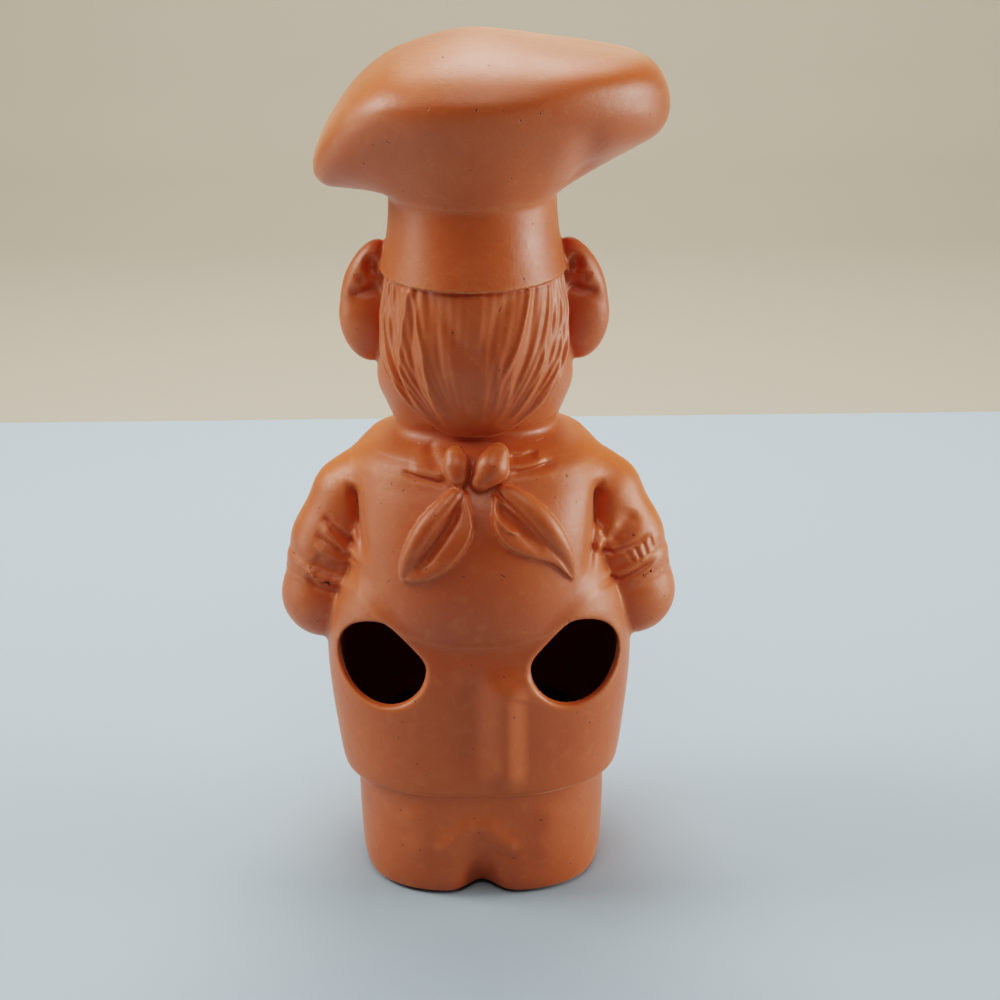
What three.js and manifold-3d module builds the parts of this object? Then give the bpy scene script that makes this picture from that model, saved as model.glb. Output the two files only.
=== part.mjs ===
// A hollow terracotta chef figurine, built the way a potter builds a hollow figure: clay shells stacked
// on each other's rims, solid arms and shoes luted on with slip, and sprigs for the small forms.
// Millimetres. +Z is up, the face looks along -Y and +X is the figure's own left.
// The origin is the centre of the underside of the base slab.
import * as THREE from "three";
import { mergeVertices } from "three/addons/utils/BufferGeometryUtils.js";
import Module from "manifold-3d";

// Clay
const clayColour = "#c97a4f";
const clayRoughness = 0.72;

// Walls and joints
const wall = 4; // thickness of every shell
const lute = 0.3; // slip between two pieces
const rim = 2.3; // outer share of a wall, which carries the shell above
const spigotRise = 4; // the inner share stands up this far into the shell above

// Every shell stands on the one below. It has a height, a half width (side), and a reach behind and in
// front of the upright axis, and its levels are shares of all four.
const trousers = { foot: 0, height: 34, side: 37.4, back: 35.3, front: 36, square: 2.9, sides: 52 };
trousers.levels = [
  { up: 0, side: 0.925, back: 0.918, front: 0.878 },
  { up: 0.05, side: 0.952, back: 0.958, front: 0.917 },
  { up: 0.18, side: 0.976, back: 0.986, front: 0.944 },
  { up: 0.44, side: 0.989, back: 1, front: 0.972 },
  { up: 0.7, side: 0.995, back: 0.997, front: 0.989 },
  { up: 1, side: 1, back: 0.992, front: 1 },
];
const skirt = { foot: trousers.height + lute, height: 57.7, side: 45.2, back: 37.8, front: 42 };
Object.assign(skirt, { square: trousers.square, sides: trousers.sides });
skirt.levels = [
  { up: 0, side: 0.892, back: 0.942, front: 0.919 },
  { up: 0.04, side: 0.92, back: 0.971, front: 0.948 },
  { up: 0.24, side: 0.958, back: 0.987, front: 0.976 },
  { up: 0.48, side: 0.991, back: 1, front: 1 },
  { up: 0.65, side: 1, back: 1, front: 1 },
  { up: 0.84, side: 0.987, back: 0.968, front: 0.986 },
  { up: 1, side: 0.942, back: 0.937, front: 0.962 },
];
const torsoOverlap = 12; // the torso's outline starts this far under the skirt's top
const torso = { height: 57, side: 39, back: 40.3, front: 45, square: 2.3, sides: 34 };
torso.foot = skirt.foot + skirt.height - torsoOverlap;
torso.levels = [
  { up: 0, side: 0.959, back: 0.883, front: 0.924 },
  { up: 0.105, side: 0.99, back: 0.963, front: 0.973 },
  { up: 0.245, side: 1, back: 1, front: 1 },
  { up: 0.42, side: 0.99, back: 0.988, front: 0.969 },
  { up: 0.6, side: 0.974, back: 0.938, front: 0.876 },
  { up: 0.755, side: 0.949, back: 0.829, front: 0.742 },
  { up: 0.86, side: 0.897, back: 0.71, front: 0.622 },
  { up: 0.94, side: 0.769, back: 0.596, front: 0.524 },
  { up: 1, side: 0.564, back: 0.481, front: 0.413 },
];
const head = { height: 46.7, side: 28, back: 27.9, front: 27.6, square: 2.1, sides: 28 };
head.foot = torso.foot + torso.height + lute;
head.levels = [
  { up: 0, side: 0.793, back: 0.602, front: 0.63 },
  { up: 0.165, side: 0.911, back: 0.753, front: 0.87 },
  { up: 0.315, side: 1, back: 0.875, front: 0.978 },
  { up: 0.485, side: 0.979, back: 0.968, front: 1 },
  { up: 0.68, side: 0.911, back: 1, front: 0.993 },
  { up: 1, side: 0.879, back: 0.968, front: 0.942 },
];
const band = { height: 21.7, side: 26.5, back: 30.8, front: 28.6, square: head.square, sides: head.sides };
band.foot = head.foot + head.height + lute;
band.levels = [
  { up: 0, side: 1, back: 1, front: 1 },
  { up: 0.49, side: 0.913, back: 0.883, front: 0.902 },
  { up: 1, side: 0.883, back: 0.805, front: 0.839 },
];

// The crown of the hat leans, so it is described across the figure instead, from its right end (-1) to
// its left end (1). Its lowest and highest points and its rim are shares of its height, the rim's
// reach behind and in front a share of its reach, and its flat foot a share of the foot's half width.
const crown = { right: 54.6, left: 44, height: 43.3, reach: 40.2, footHalf: 25, sides: 24 };
const crownFoot = band.foot + band.height + lute;
const crownStations = [
  { at: -1, low: 0.533, high: 0.575, edge: 0.557, reach: 0.03, foot: 0 },
  { at: -0.971, low: 0.4, high: 0.709, edge: 0.57, reach: 0.224, foot: 0 },
  { at: -0.879, low: 0.284, high: 0.82, edge: 0.617, reach: 0.448, foot: 0 },
  { at: -0.733, low: 0.196, high: 0.871, edge: 0.649, reach: 0.647, foot: 0.08 },
  { at: -0.568, low: 0.104, high: 0.903, edge: 0.654, reach: 0.796, foot: 0.28 },
  { at: -0.385, low: 0.014, high: 0.938, edge: 0.64, reach: 0.91, foot: 0.56 },
  { at: -0.183, low: 0, high: 0.982, edge: 0.603, reach: 0.98, foot: 0.904 },
  { at: 0.045, low: 0, high: 1, edge: 0.57, reach: 1, foot: 1 },
  { at: 0.295, low: 0, high: 0.94, edge: 0.547, reach: 0.95, foot: 0.88 },
  { at: 0.523, low: 0, high: 0.848, edge: 0.533, reach: 0.821, foot: 0.6 },
  { at: 0.727, low: 0, high: 0.686, edge: 0.455, reach: 0.637, foot: 0.4 },
  { at: 0.877, low: 0.012, high: 0.483, edge: 0.339, reach: 0.448, foot: 0.24 },
  { at: 0.968, low: 0.058, high: 0.293, edge: 0.206, reach: 0.249, foot: 0.08 },
  { at: 1, low: 0.132, high: 0.187, edge: 0.159, reach: 0.04, foot: 0 },
];
// Powers that shape a section of the crown: its dome, and how its underside draws in and sweeps up
const crownCurve = { dome: 0.9, footShare: 0.45, drawIn: 1.4, sweepUp: 1.6 };

// The seam under the belly rises from the middle of the back and front towards the elbows
const seamLow = torso.foot + 2.4;
const seamRise = 8;
const seamHalfWidth = 34;

// Two round openings, cut straight in from behind, with their middles just under the seam
const opening = { radius: 12.2, apart: 55.4, drop: 5, from: 10 };

// Pleat down the back of the skirt, and the clefts between the heels and between the trouser legs
const pleat = { middle: 0.8, width: 5, rise: 1.6, top: 27.7, full: 3.7 };
const heelCleft = { depth: 6.4, width: 5.4, fade: 13 };
const legCleft = { depth: 5.5, width: 4.6, fade: 60 };

// Base slab, pressed up into a rebate in the trousers
const slabThickness = 5;
const slabRebate = 1.6;

// Neck, which drops through the neckline into the torso
const neckRadius = 14.3;
const neckDrop = 8;

// Left arm; the right one is its mirror image. The shoulder hangs from the torso's top, and the
// heights from the elbow to the hand are over the torso's foot.
const elbowOut = torso.side + 6.4;
const handReach = torso.front; // the hands lie on the belly
const shoulderPoint = [torso.side - 3.4, 2, -21.6];
const upperArmPoint = [torso.side + 2.8, 4, -34];
const elbowPoint = [elbowOut, 4.4, 5];
const forearmPoints = [
  [elbowOut, 2, 4.2],
  [elbowOut, -0.27 * handReach, 2.4],
  [0.91 * elbowOut, -0.62 * handReach, 3.6],
  [0.7 * elbowOut, -0.88 * handReach, 7],
  [0.47 * elbowOut, -handReach, 10],
];
const shoulderRadius = 13.3;
const upperArmRadius = 13.3;
const elbowRadius = 12.5;
const elbowDrop = 3; // the upper arm's line runs on this far under the elbow
const forearmRadii = [11.6, 10.6, 9.2, 7.8, 7];
const cuffFrom = 0.66; // the cuff's upper and lower edges, as shares of the way from shoulder to elbow
const cuffTo = 0.84;
const cuffStand = 0.9;
const palm = { at: [17, -handReach - 1, 10.6], radii: [8, 5, 8.2] };
const finger = { radius: 2.5, length: 9.5, spacing: 3.7, count: 4, crook: 0.9 };
const fingerRoot = [14, -handReach - 2.6, 5.4];
const thumb = { radius: 2.7, crook: 0.8 };
const thumbRoot = [19, -handReach - 1.4, 15];
const thumbTip = [11.5, -handReach - 1.6, 19.6];
const tipShare = 0.85; // a finger's tip, as a share of its radius

// Shoes: the toes show in front of the trousers
const shoe = { halfWidth: 15.4, halfGap: 2, height: 12.5, toe: 50, tuck: 4, level: 0.18 };

// Hair and ears. Heights are over the head's foot.
const hair = { stand: 2.3, grooves: 34, depth: 0.8, edgeFrom: 2 };
const hairEdge = { low: 3.1, napeHalf: 16, sideHalf: head.side, sideRise: 24, templeRise: 32 };
const ear = { reach: head.side + 9.9, low: 18.7, high: 55.9, thick: 6.2 };
const earPlace = { upper: [head.side + 1.4, 0.5, 44.7], lower: [head.side + 1.6, 0, 32.1] };
const earUpperHalf = 6.5; // half width of the upper fold
const earBowl = { out: 3, radii: [4, 3.4, 10] };

// Face: the brows hang under the hat, the eyes under the brows and the nose under the eyes
const brow = { drop: 5.9, apart: 18.8, half: 4.2, radius: 1.3, arch: 0.8 };
const eye = { drop: 6.4, apart: 18.4, radii: [3.1, 1.7, 2.3] };
const nose = { drop: 7, radii: [4.4, 5.7, 5.1] };
const moustache = { half: 10.5, radius: 2.6, lift: 1.2 };
const ridgeTip = 0.6; // the end of a brow or moustache, as a share of its radius

// Kerchief. Its collar ends this far under the torso's top, and the rest hangs from that line.
const collarDrop = 7.2;
const clothStand = 2.4;
const tailStand = 3.2;
const bib = { drop: 25.8, half: 24, waist: 0.6 };
const knot = { x: -1, rise: 5.2, radii: [5.6, 5, 4.9] };
const knotLobe = { left: [5.8, 1, 0.6], right: [-5.8, 0.8, 1.2], radii: [3.2, 4.2, 5.3], lean: 12 };
const leftTail = { root: 4.2, tip: [20.6, -25.2], width: 9.5 };
const rightTail = { root: -6.2, tip: [-27, -26.4], width: 10.5 };
const tailLeaf = { root: 0.25, belly: 0.65, tip: 0.55 }; // half widths of a tail, as shares of its width

// Buttons in two columns down the jacket: a pair beside the bib's tip and rows under the belly seam
const button = { radius: 2.9, stand: 1.8, apart: 23, overTip: 2.3, underSeam: 9.4, pitch: 13, rows: 3 };

// How finely curves are cut
const torsoSteps = 8;
const headSteps = 6;
const bandSteps = 3;
const hairSides = 68;
const limbSides = 12;
const boreSides = 24;
const sprigSides = 8;
const weld = 1e-4;
const far = 80; // past the figure on every side, for the solids that cut it

const wasm = await Module();
wasm.setup();
const radians = THREE.MathUtils.degToRad;
const place = (point) => new THREE.Vector3(...point);

// A closed three.js geometry as a solid that can be joined and cut.
function toSolid(geometry) {
  const bare = new THREE.BufferGeometry();
  bare.setAttribute("position", geometry.getAttribute("position").clone());
  if (geometry.index) bare.setIndex(geometry.index.clone());
  const merged = mergeVertices(bare, weld);
  const corners = Array.from(merged.index.array);
  const kept = [];
  for (let i = 0; i < corners.length; i += 3) {
    const [a, b, c] = corners.slice(i, i + 3);
    if (a !== b && b !== c && c !== a) kept.push(a, b, c);
  }
  const vertProperties = new Float32Array(merged.attributes.position.array);
  return new wasm.Manifold(new wasm.Mesh({ numProp: 3, vertProperties, triVerts: new Uint32Array(kept) }));
}

// A solid back as a three.js geometry.
function toGeometry(solid) {
  const mesh = solid.getMesh();
  const points = new Float32Array(mesh.numVert * 3);
  for (let i = 0; i < mesh.numVert; i++)
    points.set(mesh.vertProperties.subarray(i * mesh.numProp, i * mesh.numProp + 3), i * 3);
  const geometry = new THREE.BufferGeometry();
  geometry.setAttribute("position", new THREE.BufferAttribute(points, 3));
  geometry.setIndex(new THREE.BufferAttribute(new Uint32Array(mesh.triVerts), 1));
  geometry.computeVertexNormals();
  return geometry;
}

// A shell's sizes at any height: a smooth curve through its levels for every size.
function profile(shell) {
  const keys = ["side", "back", "front"];
  const levels = shell.levels.map((shares) => {
    const level = { z: shell.foot + shares.up * shell.height };
    for (const key of keys) level[key] = shares[key] * shell[key];
    return level;
  });
  const slope = (key, i) => {
    const below = levels[Math.max(i - 1, 0)];
    const above = levels[Math.min(i + 1, levels.length - 1)];
    return (above[key] - below[key]) / (above.z - below.z);
  };
  return (z) => {
    let i = 0;
    while (i < levels.length - 2 && z > levels[i + 1].z) i++;
    const [a, b] = [levels[i], levels[i + 1]];
    const step = b.z - a.z;
    const t = THREE.MathUtils.clamp((z - a.z) / step, 0, 1);
    const [t2, t3] = [t ** 2, t ** 3];
    const at = { z };
    for (const key of keys) {
      const ends = (2 * t3 - 3 * t2 + 1) * a[key] + (3 * t2 - 2 * t3) * b[key];
      at[key] = ends + step * ((t3 - 2 * t2 + t) * slope(key, i) + (t3 - t2) * slope(key, i + 1));
    }
    return at;
  };
}

// The outline of a body at one level: a superellipse that reaches differently behind and in front.
function outline(level, sides, square) {
  return Array.from({ length: sides }, (_, i) => {
    const angle = (2 * Math.PI * i) / sides;
    const [c, s] = [Math.cos(angle), Math.sin(angle)];
    const x = Math.sign(c) * Math.abs(c) ** (2 / square) * level.side;
    const y = Math.sign(s) * Math.abs(s) ** (2 / square) * (s > 0 ? level.back : level.front);
    return new THREE.Vector3(x, y, level.z);
  });
}

// A shell's outlines at some heights.
function stack(shell, heights, sides = shell.sides) {
  const sizes = profile(shell);
  return heights.map((z) => outline(sizes(z), sides, shell.square));
}

function evenly(low, high, steps) {
  return Array.from({ length: steps + 1 }, (_, i) => THREE.MathUtils.lerp(low, high, i / steps));
}

// Where a shell's surface lies at one place across and up, behind (+1) or in front (-1).
function surfaceAt(shell, x, z, end) {
  const level = profile(shell)(z);
  const share = Math.max(1 - (Math.abs(x) / level.side) ** shell.square, 0) ** (1 / shell.square);
  return end * share * (end > 0 ? level.back : level.front);
}

// An outline drawn in by a distance in its own level.
function drawnIn(ring, distance) {
  const sides = ring.length;
  return ring.map((point, i) => {
    const along = ring[(i + 1) % sides].clone().sub(ring[(i + sides - 1) % sides]);
    const outward = new THREE.Vector3(along.y, -along.x, 0).normalize();
    return point.clone().addScaledVector(outward, -distance);
  });
}

function atHeight(ring, z) {
  return ring.map((point) => point.clone().setZ(z));
}

// Rings moved along their own surface's normals.
function offsetRings(rings, distance) {
  const sides = rings[0].length;
  return rings.map((ring, r) =>
    ring.map((point, i) => {
      const round = ring[(i + 1) % sides].clone().sub(ring[(i + sides - 1) % sides]);
      const over = rings[Math.min(r + 1, rings.length - 1)][i];
      const under = rings[Math.max(r - 1, 0)][i];
      const normal = round.cross(over.clone().sub(under)).normalize();
      return point.clone().addScaledVector(normal, distance);
    }),
  );
}

// A closed solid through rings that all have the same number of points, with a cap at each end.
function loft(rings) {
  const sides = rings[0].length;
  const points = rings.flat();
  const index = [];
  for (let r = 0; r < rings.length - 1; r++)
    for (let i = 0; i < sides; i++) {
      const a = r * sides + i;
      const b = r * sides + ((i + 1) % sides);
      index.push(a, b, b + sides, a, b + sides, a + sides);
    }
  for (const end of [0, rings.length - 1]) {
    const middle = new THREE.Vector3();
    for (const point of rings[end]) middle.addScaledVector(point, 1 / sides);
    points.push(middle);
    for (let i = 0; i < sides; i++) {
      const a = end * sides + i;
      const b = end * sides + ((i + 1) % sides);
      index.push(points.length - 1, ...(end ? [a, b] : [b, a]));
    }
  }
  const geometry = new THREE.BufferGeometry().setFromPoints(points);
  geometry.setIndex(index);
  return toSolid(geometry);
}

// A straight column with one outline, between two heights.
function column(ring, low, high) {
  return loft([atHeight(ring, low), atHeight(ring, high)]);
}

// The spigot on top of a shell, and the socket that the shell above needs for it.
function spigot(ring) {
  const z = ring[0].z;
  const outer = column(drawnIn(ring, rim + lute), z - spigotRise, z + spigotRise);
  return outer.subtract(column(drawnIn(ring, wall), z - spigotRise - 1, z + spigotRise + 1));
}

function socket(ring) {
  const z = ring[0].z;
  return column(drawnIn(ring, rim), z - 1, z + spigotRise + 2 * lute);
}

// A round bar that stands upright on the axis.
function upright(radius, low, high) {
  const geometry = new THREE.CylinderGeometry(radius, radius, high - low, boreSides);
  geometry.rotateX(Math.PI / 2);
  geometry.translate(0, 0, (low + high) / 2);
  return toSolid(geometry);
}

// An ellipsoid at a place, leaned sideways in degrees.
function egg(at, radii, lean = 0, sides = limbSides) {
  const geometry = new THREE.SphereGeometry(1, sides, Math.round(sides * 0.6));
  geometry.rotateX(Math.PI / 2);
  geometry.scale(...radii);
  geometry.rotateY(radians(lean));
  geometry.translate(...at);
  return toSolid(geometry);
}

// A limb: round sections along a smooth path, closed by a dome at each end.
function limb(places, radii, steps, sides = limbSides) {
  const path = new THREE.CatmullRomCurve3(places.map(place));
  const sizes = new THREE.CatmullRomCurve3(radii.map((radius, i) => new THREE.Vector3(radius, i, 0)));
  const frames = path.computeFrenetFrames(steps);
  const section = (i, dome) => {
    const share = i / steps;
    const radius = sizes.getPoint(path.getUtoTmapping(share)).x;
    const centre = path.getPointAt(share).addScaledVector(frames.tangents[i], Math.sin(dome) * radius);
    return Array.from({ length: sides }, (_, k) => {
      const angle = (2 * Math.PI * k) / sides;
      return centre
        .clone()
        .addScaledVector(frames.normals[i], Math.cos(angle) * Math.cos(dome) * radius)
        .addScaledVector(frames.binormals[i], Math.sin(angle) * Math.cos(dome) * radius);
    });
  };
  const domes = [30, 65].map(radians);
  return loft([
    ...domes.toReversed().map((dome) => section(0, -dome)),
    ...evenly(0, steps, steps).map((i) => section(i, 0)),
    ...domes.map((dome) => section(steps, dome)),
  ]);
}

// A prism that runs front to back, from an outline drawn across (x) and up (z).
function prism(shape, from, to) {
  const settings = { depth: to - from, bevelEnabled: false, curveSegments: 10 };
  const geometry = new THREE.ExtrudeGeometry(shape, settings);
  geometry.rotateX(Math.PI / 2);
  geometry.translate(0, to, 0);
  return toSolid(geometry);
}

// A large block on the far side of a plane, to cut with.
function beyond(point, direction) {
  const geometry = new THREE.BoxGeometry(4 * far, 4 * far, 4 * far);
  geometry.translate(0, 0, 2 * far);
  geometry.applyQuaternion(new THREE.Quaternion().setFromUnitVectors(new THREE.Vector3(0, 0, 1), direction));
  geometry.translate(point.x, point.y, point.z);
  return toSolid(geometry);
}

// The mirror image of a solid from left to right.
function mirrored(solid) {
  const geometry = toGeometry(solid);
  geometry.scale(-1, 1, 1);
  geometry.index.array.reverse();
  return toSolid(geometry);
}

// Rings of every shell: walls, joints and the neighbours' seats are worked out from them
const topOf = (rings) => rings[rings.length - 1];
const levelHeights = (shell) => shell.levels.map((level) => shell.foot + level.up * shell.height);
const evenHeights = (shell, steps) => evenly(shell.foot, shell.foot + shell.height, steps);

const trouserRings = stack(trousers, levelHeights(trousers));
for (const point of trouserRings.flat()) {
  const cleft = point.y > 0 ? heelCleft : legCleft;
  const across = Math.exp(-((point.x / cleft.width) ** 2));
  point.y -= Math.sign(point.y) * cleft.depth * across * Math.exp(-((point.z / cleft.fade) ** 2));
}

const skirtRings = stack(skirt, levelHeights(skirt));
for (const point of skirtRings.flat().filter((each) => each.y > 0)) {
  const share = THREE.MathUtils.smoothstep(skirt.foot + pleat.top - point.z, 0, pleat.top - pleat.full);
  point.y += pleat.rise * share * Math.exp(-(((point.x - pleat.middle) / pleat.width) ** 2));
}

const torsoRings = stack(torso, evenHeights(torso, torsoSteps));
const headRings = stack(head, evenHeights(head, headSteps));
const bandRings = stack(band, evenHeights(band, bandSteps));

// A body without its hollow, let out on all sides: what a neighbour is cut by.
function body(rings, grow) {
  const out = offsetRings(rings, grow);
  const [low, high] = [rings[0][0].z - grow, topOf(rings)[0].z + grow];
  return loft([atHeight(out[0], low), ...out.slice(1, -1), atHeight(topOf(out), high)]);
}

// The hollow of a shell between two heights.
function hollow(rings, low, high) {
  const inner = offsetRings(rings, -wall).filter((ring) => ring[0].z > low + 0.5 && ring[0].z < high - 0.5);
  return loft([atHeight(inner[0], low), ...inner, atHeight(topOf(inner), high)]);
}

// The space under the seam below the belly, front to back, with the seam raised by a distance.
function underSeam(raise) {
  const shape = new THREE.Shape();
  shape.moveTo(-far, 0);
  shape.lineTo(far, 0);
  const [low, high] = [seamLow + raise, seamLow + seamRise + raise];
  shape.lineTo(far, high);
  shape.lineTo(seamHalfWidth, high);
  shape.quadraticCurveTo(seamHalfWidth / 2, low, 0, low);
  shape.quadraticCurveTo(-seamHalfWidth / 2, low, -seamHalfWidth, high);
  shape.lineTo(-far, high);
  return prism(shape, -far, far);
}

// The cutter of one round opening: +1 on the figure's left, -1 on its right.
function openingCutter(side) {
  const geometry = new THREE.CylinderGeometry(opening.radius, opening.radius, far, boreSides);
  geometry.translate((side * opening.apart) / 2, far / 2 + opening.from, seamLow - opening.drop);
  return toSolid(geometry);
}

const torsoOutside = body(torsoRings, lute).subtract(underSeam(-lute));
const skirtOutside = body(skirtRings, lute).intersect(underSeam(lute));
const bodyOutside = torsoOutside.add(skirtOutside);
const headOutside = body(headRings, lute);
const bandOutside = body(bandRings, lute);

function trousersShell() {
  const top = topOf(trouserRings);
  const rebate = drawnIn(trouserRings[0], wall - slabRebate);
  return loft(trouserRings)
    .subtract(hollow(trouserRings, slabThickness, top[0].z + 1))
    .subtract(column(rebate, -1, slabThickness + lute))
    .add(spigot(top));
}

function baseSlab() {
  return column(drawnIn(trouserRings[0], wall - slabRebate + lute), 0, slabThickness);
}

// The skirt's hollow starts over its hem, which rests on the trousers, and ends as wide as the torso's.
function skirtShell() {
  const inner = offsetRings(skirtRings, -wall).slice(1, -2);
  const throat = offsetRings(stack(torso, evenHeights(torso, torsoSteps), skirt.sides), -wall)[1];
  const seamTop = seamLow + seamRise;
  const room = loft([
    atHeight(inner[0], skirt.foot + wall),
    ...inner.slice(1),
    atHeight(throat, seamTop - wall),
    atHeight(throat, seamTop + wall),
  ]);
  return loft(skirtRings)
    .intersect(underSeam(-lute))
    .subtract(room)
    .subtract(socket(topOf(trouserRings)))
    .subtract(openingCutter(1))
    .subtract(openingCutter(-1));
}

// The torso's hollow follows its roof up to the neck, which passes through it.
function torsoShell() {
  const high = torso.foot + torso.height;
  const inner = offsetRings(torsoRings, -wall);
  const room = loft([atHeight(inner[0], torso.foot - 1), ...inner.slice(1)]);
  return loft(torsoRings)
    .subtract(underSeam(0))
    .subtract(room)
    .subtract(upright(neckRadius + lute, high - neckDrop, high + 1))
    .subtract(openingCutter(1))
    .subtract(openingCutter(-1));
}

// The head and neck are one shell, open at both ends.
function headShell() {
  const [low, high] = [head.foot, head.foot + head.height];
  return loft(headRings)
    .add(upright(neckRadius, low - neckDrop, low + 1))
    .subtract(hollow(headRings, low + wall, high + 1))
    .subtract(upright(neckRadius - wall, low - neckDrop - 1, low + wall + 2))
    .add(spigot(topOf(headRings)));
}

function hatBand() {
  const [low, high] = [band.foot, band.foot + band.height];
  return loft(bandRings)
    .subtract(hollow(bandRings, low - 1, high + 1))
    .subtract(socket(topOf(headRings)))
    .add(spigot(topOf(bandRings)));
}

// One section of the crown: a full dome over its edge and a drawn-in underside down to its flat foot.
function crownSection(shares) {
  const { dome, footShare, drawIn, sweepUp } = crownCurve;
  const x = shares.at * (shares.at < 0 ? crown.right : crown.left);
  const heights = [shares.low, shares.high, shares.edge].map((share) => crownFoot + share * crown.height);
  const [low, high, edge] = heights;
  const [reach, foot] = [shares.reach * crown.reach, shares.foot * crown.footHalf];
  return Array.from({ length: crown.sides }, (_, i) => {
    const angle = (2 * Math.PI * i) / crown.sides;
    const across = Math.abs(Math.cos(angle));
    const up = Math.sin(angle);
    const end = Math.sign(Math.cos(angle));
    const rise = Math.max((across - footShare) / (1 - footShare), 0);
    const footReach = (foot * Math.min(across, footShare)) / footShare;
    const under = new THREE.Vector3(x, end * (footReach + (reach - foot) * rise ** drawIn), 0);
    under.z = low + (edge - low) * rise ** sweepUp;
    if (up < -weld) return under;
    const over = new THREE.Vector3(x, end * across ** dome * reach, 0);
    over.z = edge + (high - edge) * Math.max(up, 0) ** dome;
    return over;
  });
}

function hatCrown() {
  const rings = crownStations.map(crownSection);
  const room = offsetRings(rings, -wall).slice(2, -2);
  return loft(rings).subtract(loft(room)).subtract(socket(topOf(bandRings)));
}

// Cloth on the torso: a layer over it, cut to a shape behind (+1), in front (-1) or all round (0).
function clothOnTorso(shape, side, stand) {
  const layer = body(torsoRings, lute + stand).subtract(body(torsoRings, lute));
  return layer.intersect(prism(shape, side > 0 ? 0 : -far, side < 0 ? 0 : far)).subtract(headOutside);
}

// The line round the shoulders where the collar ends
const collarFoot = torso.foot + torso.height - collarDrop;
const collarRoom = beyond(place([0, 0, collarFoot - lute]), place([0, 0, 1]));

function collar() {
  const shape = new THREE.Shape();
  shape.moveTo(-far, collarFoot);
  shape.lineTo(far, collarFoot);
  shape.lineTo(far, collarFoot + far);
  shape.lineTo(-far, collarFoot + far);
  return clothOnTorso(shape, 0, clothStand);
}

const bibTip = collarFoot - lute - bib.drop;

function bibCloth() {
  const { half, waist } = bib;
  const top = collarFoot - lute;
  const sag = (top + bibTip) / 2 - clothStand;
  const shape = new THREE.Shape();
  shape.moveTo(-half, top);
  shape.quadraticCurveTo(-half * waist, sag, 0, bibTip);
  shape.quadraticCurveTo(half * waist, sag, half, top);
  return clothOnTorso(shape, -1, clothStand);
}

// The knot lies on the collar, a lobe on each side of it.
function knotSolid(grow) {
  const grown = (radii) => radii.map((radius) => radius + grow);
  const [x, y, z] = [knot.x, surfaceAt(torso, knot.x, collarFoot, 1) + clothStand, collarFoot + knot.rise];
  const lobeAt = ([across, back, up]) => [x + across, y + back, z + up];
  return egg([x, y, z], grown(knot.radii))
    .add(egg(lobeAt(knotLobe.left), grown(knotLobe.radii), knotLobe.lean))
    .add(egg(lobeAt(knotLobe.right), grown(knotLobe.radii), -knotLobe.lean));
}

// A tail of the kerchief: a leaf from its root under the knot to its tip.
function tailCloth({ root, tip, width }) {
  const start = new THREE.Vector2(root, collarFoot - lute);
  const end = new THREE.Vector2(tip[0], collarFoot + tip[1]);
  const along = end.clone().sub(start);
  const across = new THREE.Vector2(-along.y, along.x).normalize();
  const edge = (share, offset) => {
    const point = start.clone().addScaledVector(along, share);
    return point.addScaledVector(across, offset * width).toArray();
  };
  const leaf = tailLeaf;
  const shape = new THREE.Shape();
  shape.moveTo(...edge(0, leaf.root));
  shape.bezierCurveTo(...edge(0.3, leaf.belly), ...edge(0.75, leaf.tip), end.x, end.y);
  shape.bezierCurveTo(...edge(0.75, -leaf.tip), ...edge(0.3, -leaf.belly), ...edge(0, -leaf.root));
  return clothOnTorso(shape, 1, tailStand).subtract(collarRoom).subtract(knotSolid(lute));
}

// The hair: a layer over the back of the head, grooved into strands, that narrows to the nape.
function hairBack() {
  const outer = offsetRings(stack(head, evenHeights(head, headSteps), hairSides), lute + hair.stand);
  for (const point of outer.flat()) {
    const groove = 1 - Math.abs(Math.sin((Math.atan2(point.y, point.x) * hair.grooves) / 2));
    const outward = new THREE.Vector3(point.x, point.y, 0).normalize();
    point.addScaledVector(outward, -groove * hair.depth);
  }
  const { napeHalf, sideHalf, sideRise, templeRise } = hairEdge;
  const low = head.foot + hairEdge.low;
  const high = head.foot + head.height - lute;
  const bend = [(napeHalf + 2 * sideHalf) / 3, low + sideRise / 2];
  const shape = new THREE.Shape();
  shape.moveTo(0, low);
  shape.bezierCurveTo(napeHalf, low, ...bend, sideHalf, low + sideRise);
  shape.lineTo(ear.reach, low + templeRise);
  shape.lineTo(ear.reach, high);
  shape.lineTo(-ear.reach, high);
  shape.lineTo(-ear.reach, low + templeRise);
  shape.lineTo(-sideHalf, low + sideRise);
  shape.bezierCurveTo(-bend[0], bend[1], -napeHalf, low, 0, low);
  return loft(outer).subtract(headOutside).intersect(prism(shape, hair.edgeFrom, far));
}

const onHead = ([x, y, up]) => [x, y, head.foot + up];

function leftEar() {
  const { reach, low, high, thick } = ear;
  const [upper, lower] = [onHead(earPlace.upper), onHead(earPlace.lower)];
  const bowl = egg([lower[0] + earBowl.out, -thick, (lower[2] + upper[2]) / 2], earBowl.radii);
  return egg(upper, [earUpperHalf, thick, head.foot + high - upper[2]])
    .add(egg(lower, [reach - lower[0], thick, lower[2] - head.foot - low]))
    .subtract(bowl)
    .subtract(body(headRings, 2 * lute + hair.stand))
    .subtract(bandOutside);
}

// Heights of the features, one under the other
const browHeight = band.foot - brow.drop;
const eyeHeight = browHeight - eye.drop;
const noseHeight = eyeHeight - nose.drop;

// A point of the face, on the head's surface.
function facePoint(x, z) {
  return [x, surfaceAt(head, x, z, -1), z];
}

// A ridge on the face through some points, thinner at its ends.
function faceRidge(points, radius) {
  const path = points.map((point) => facePoint(...point));
  const radii = points.map((_, i) => (i % (points.length - 1) ? radius : radius * ridgeTip));
  return limb(path, radii, 2 * points.length, sprigSides).subtract(headOutside);
}

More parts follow.
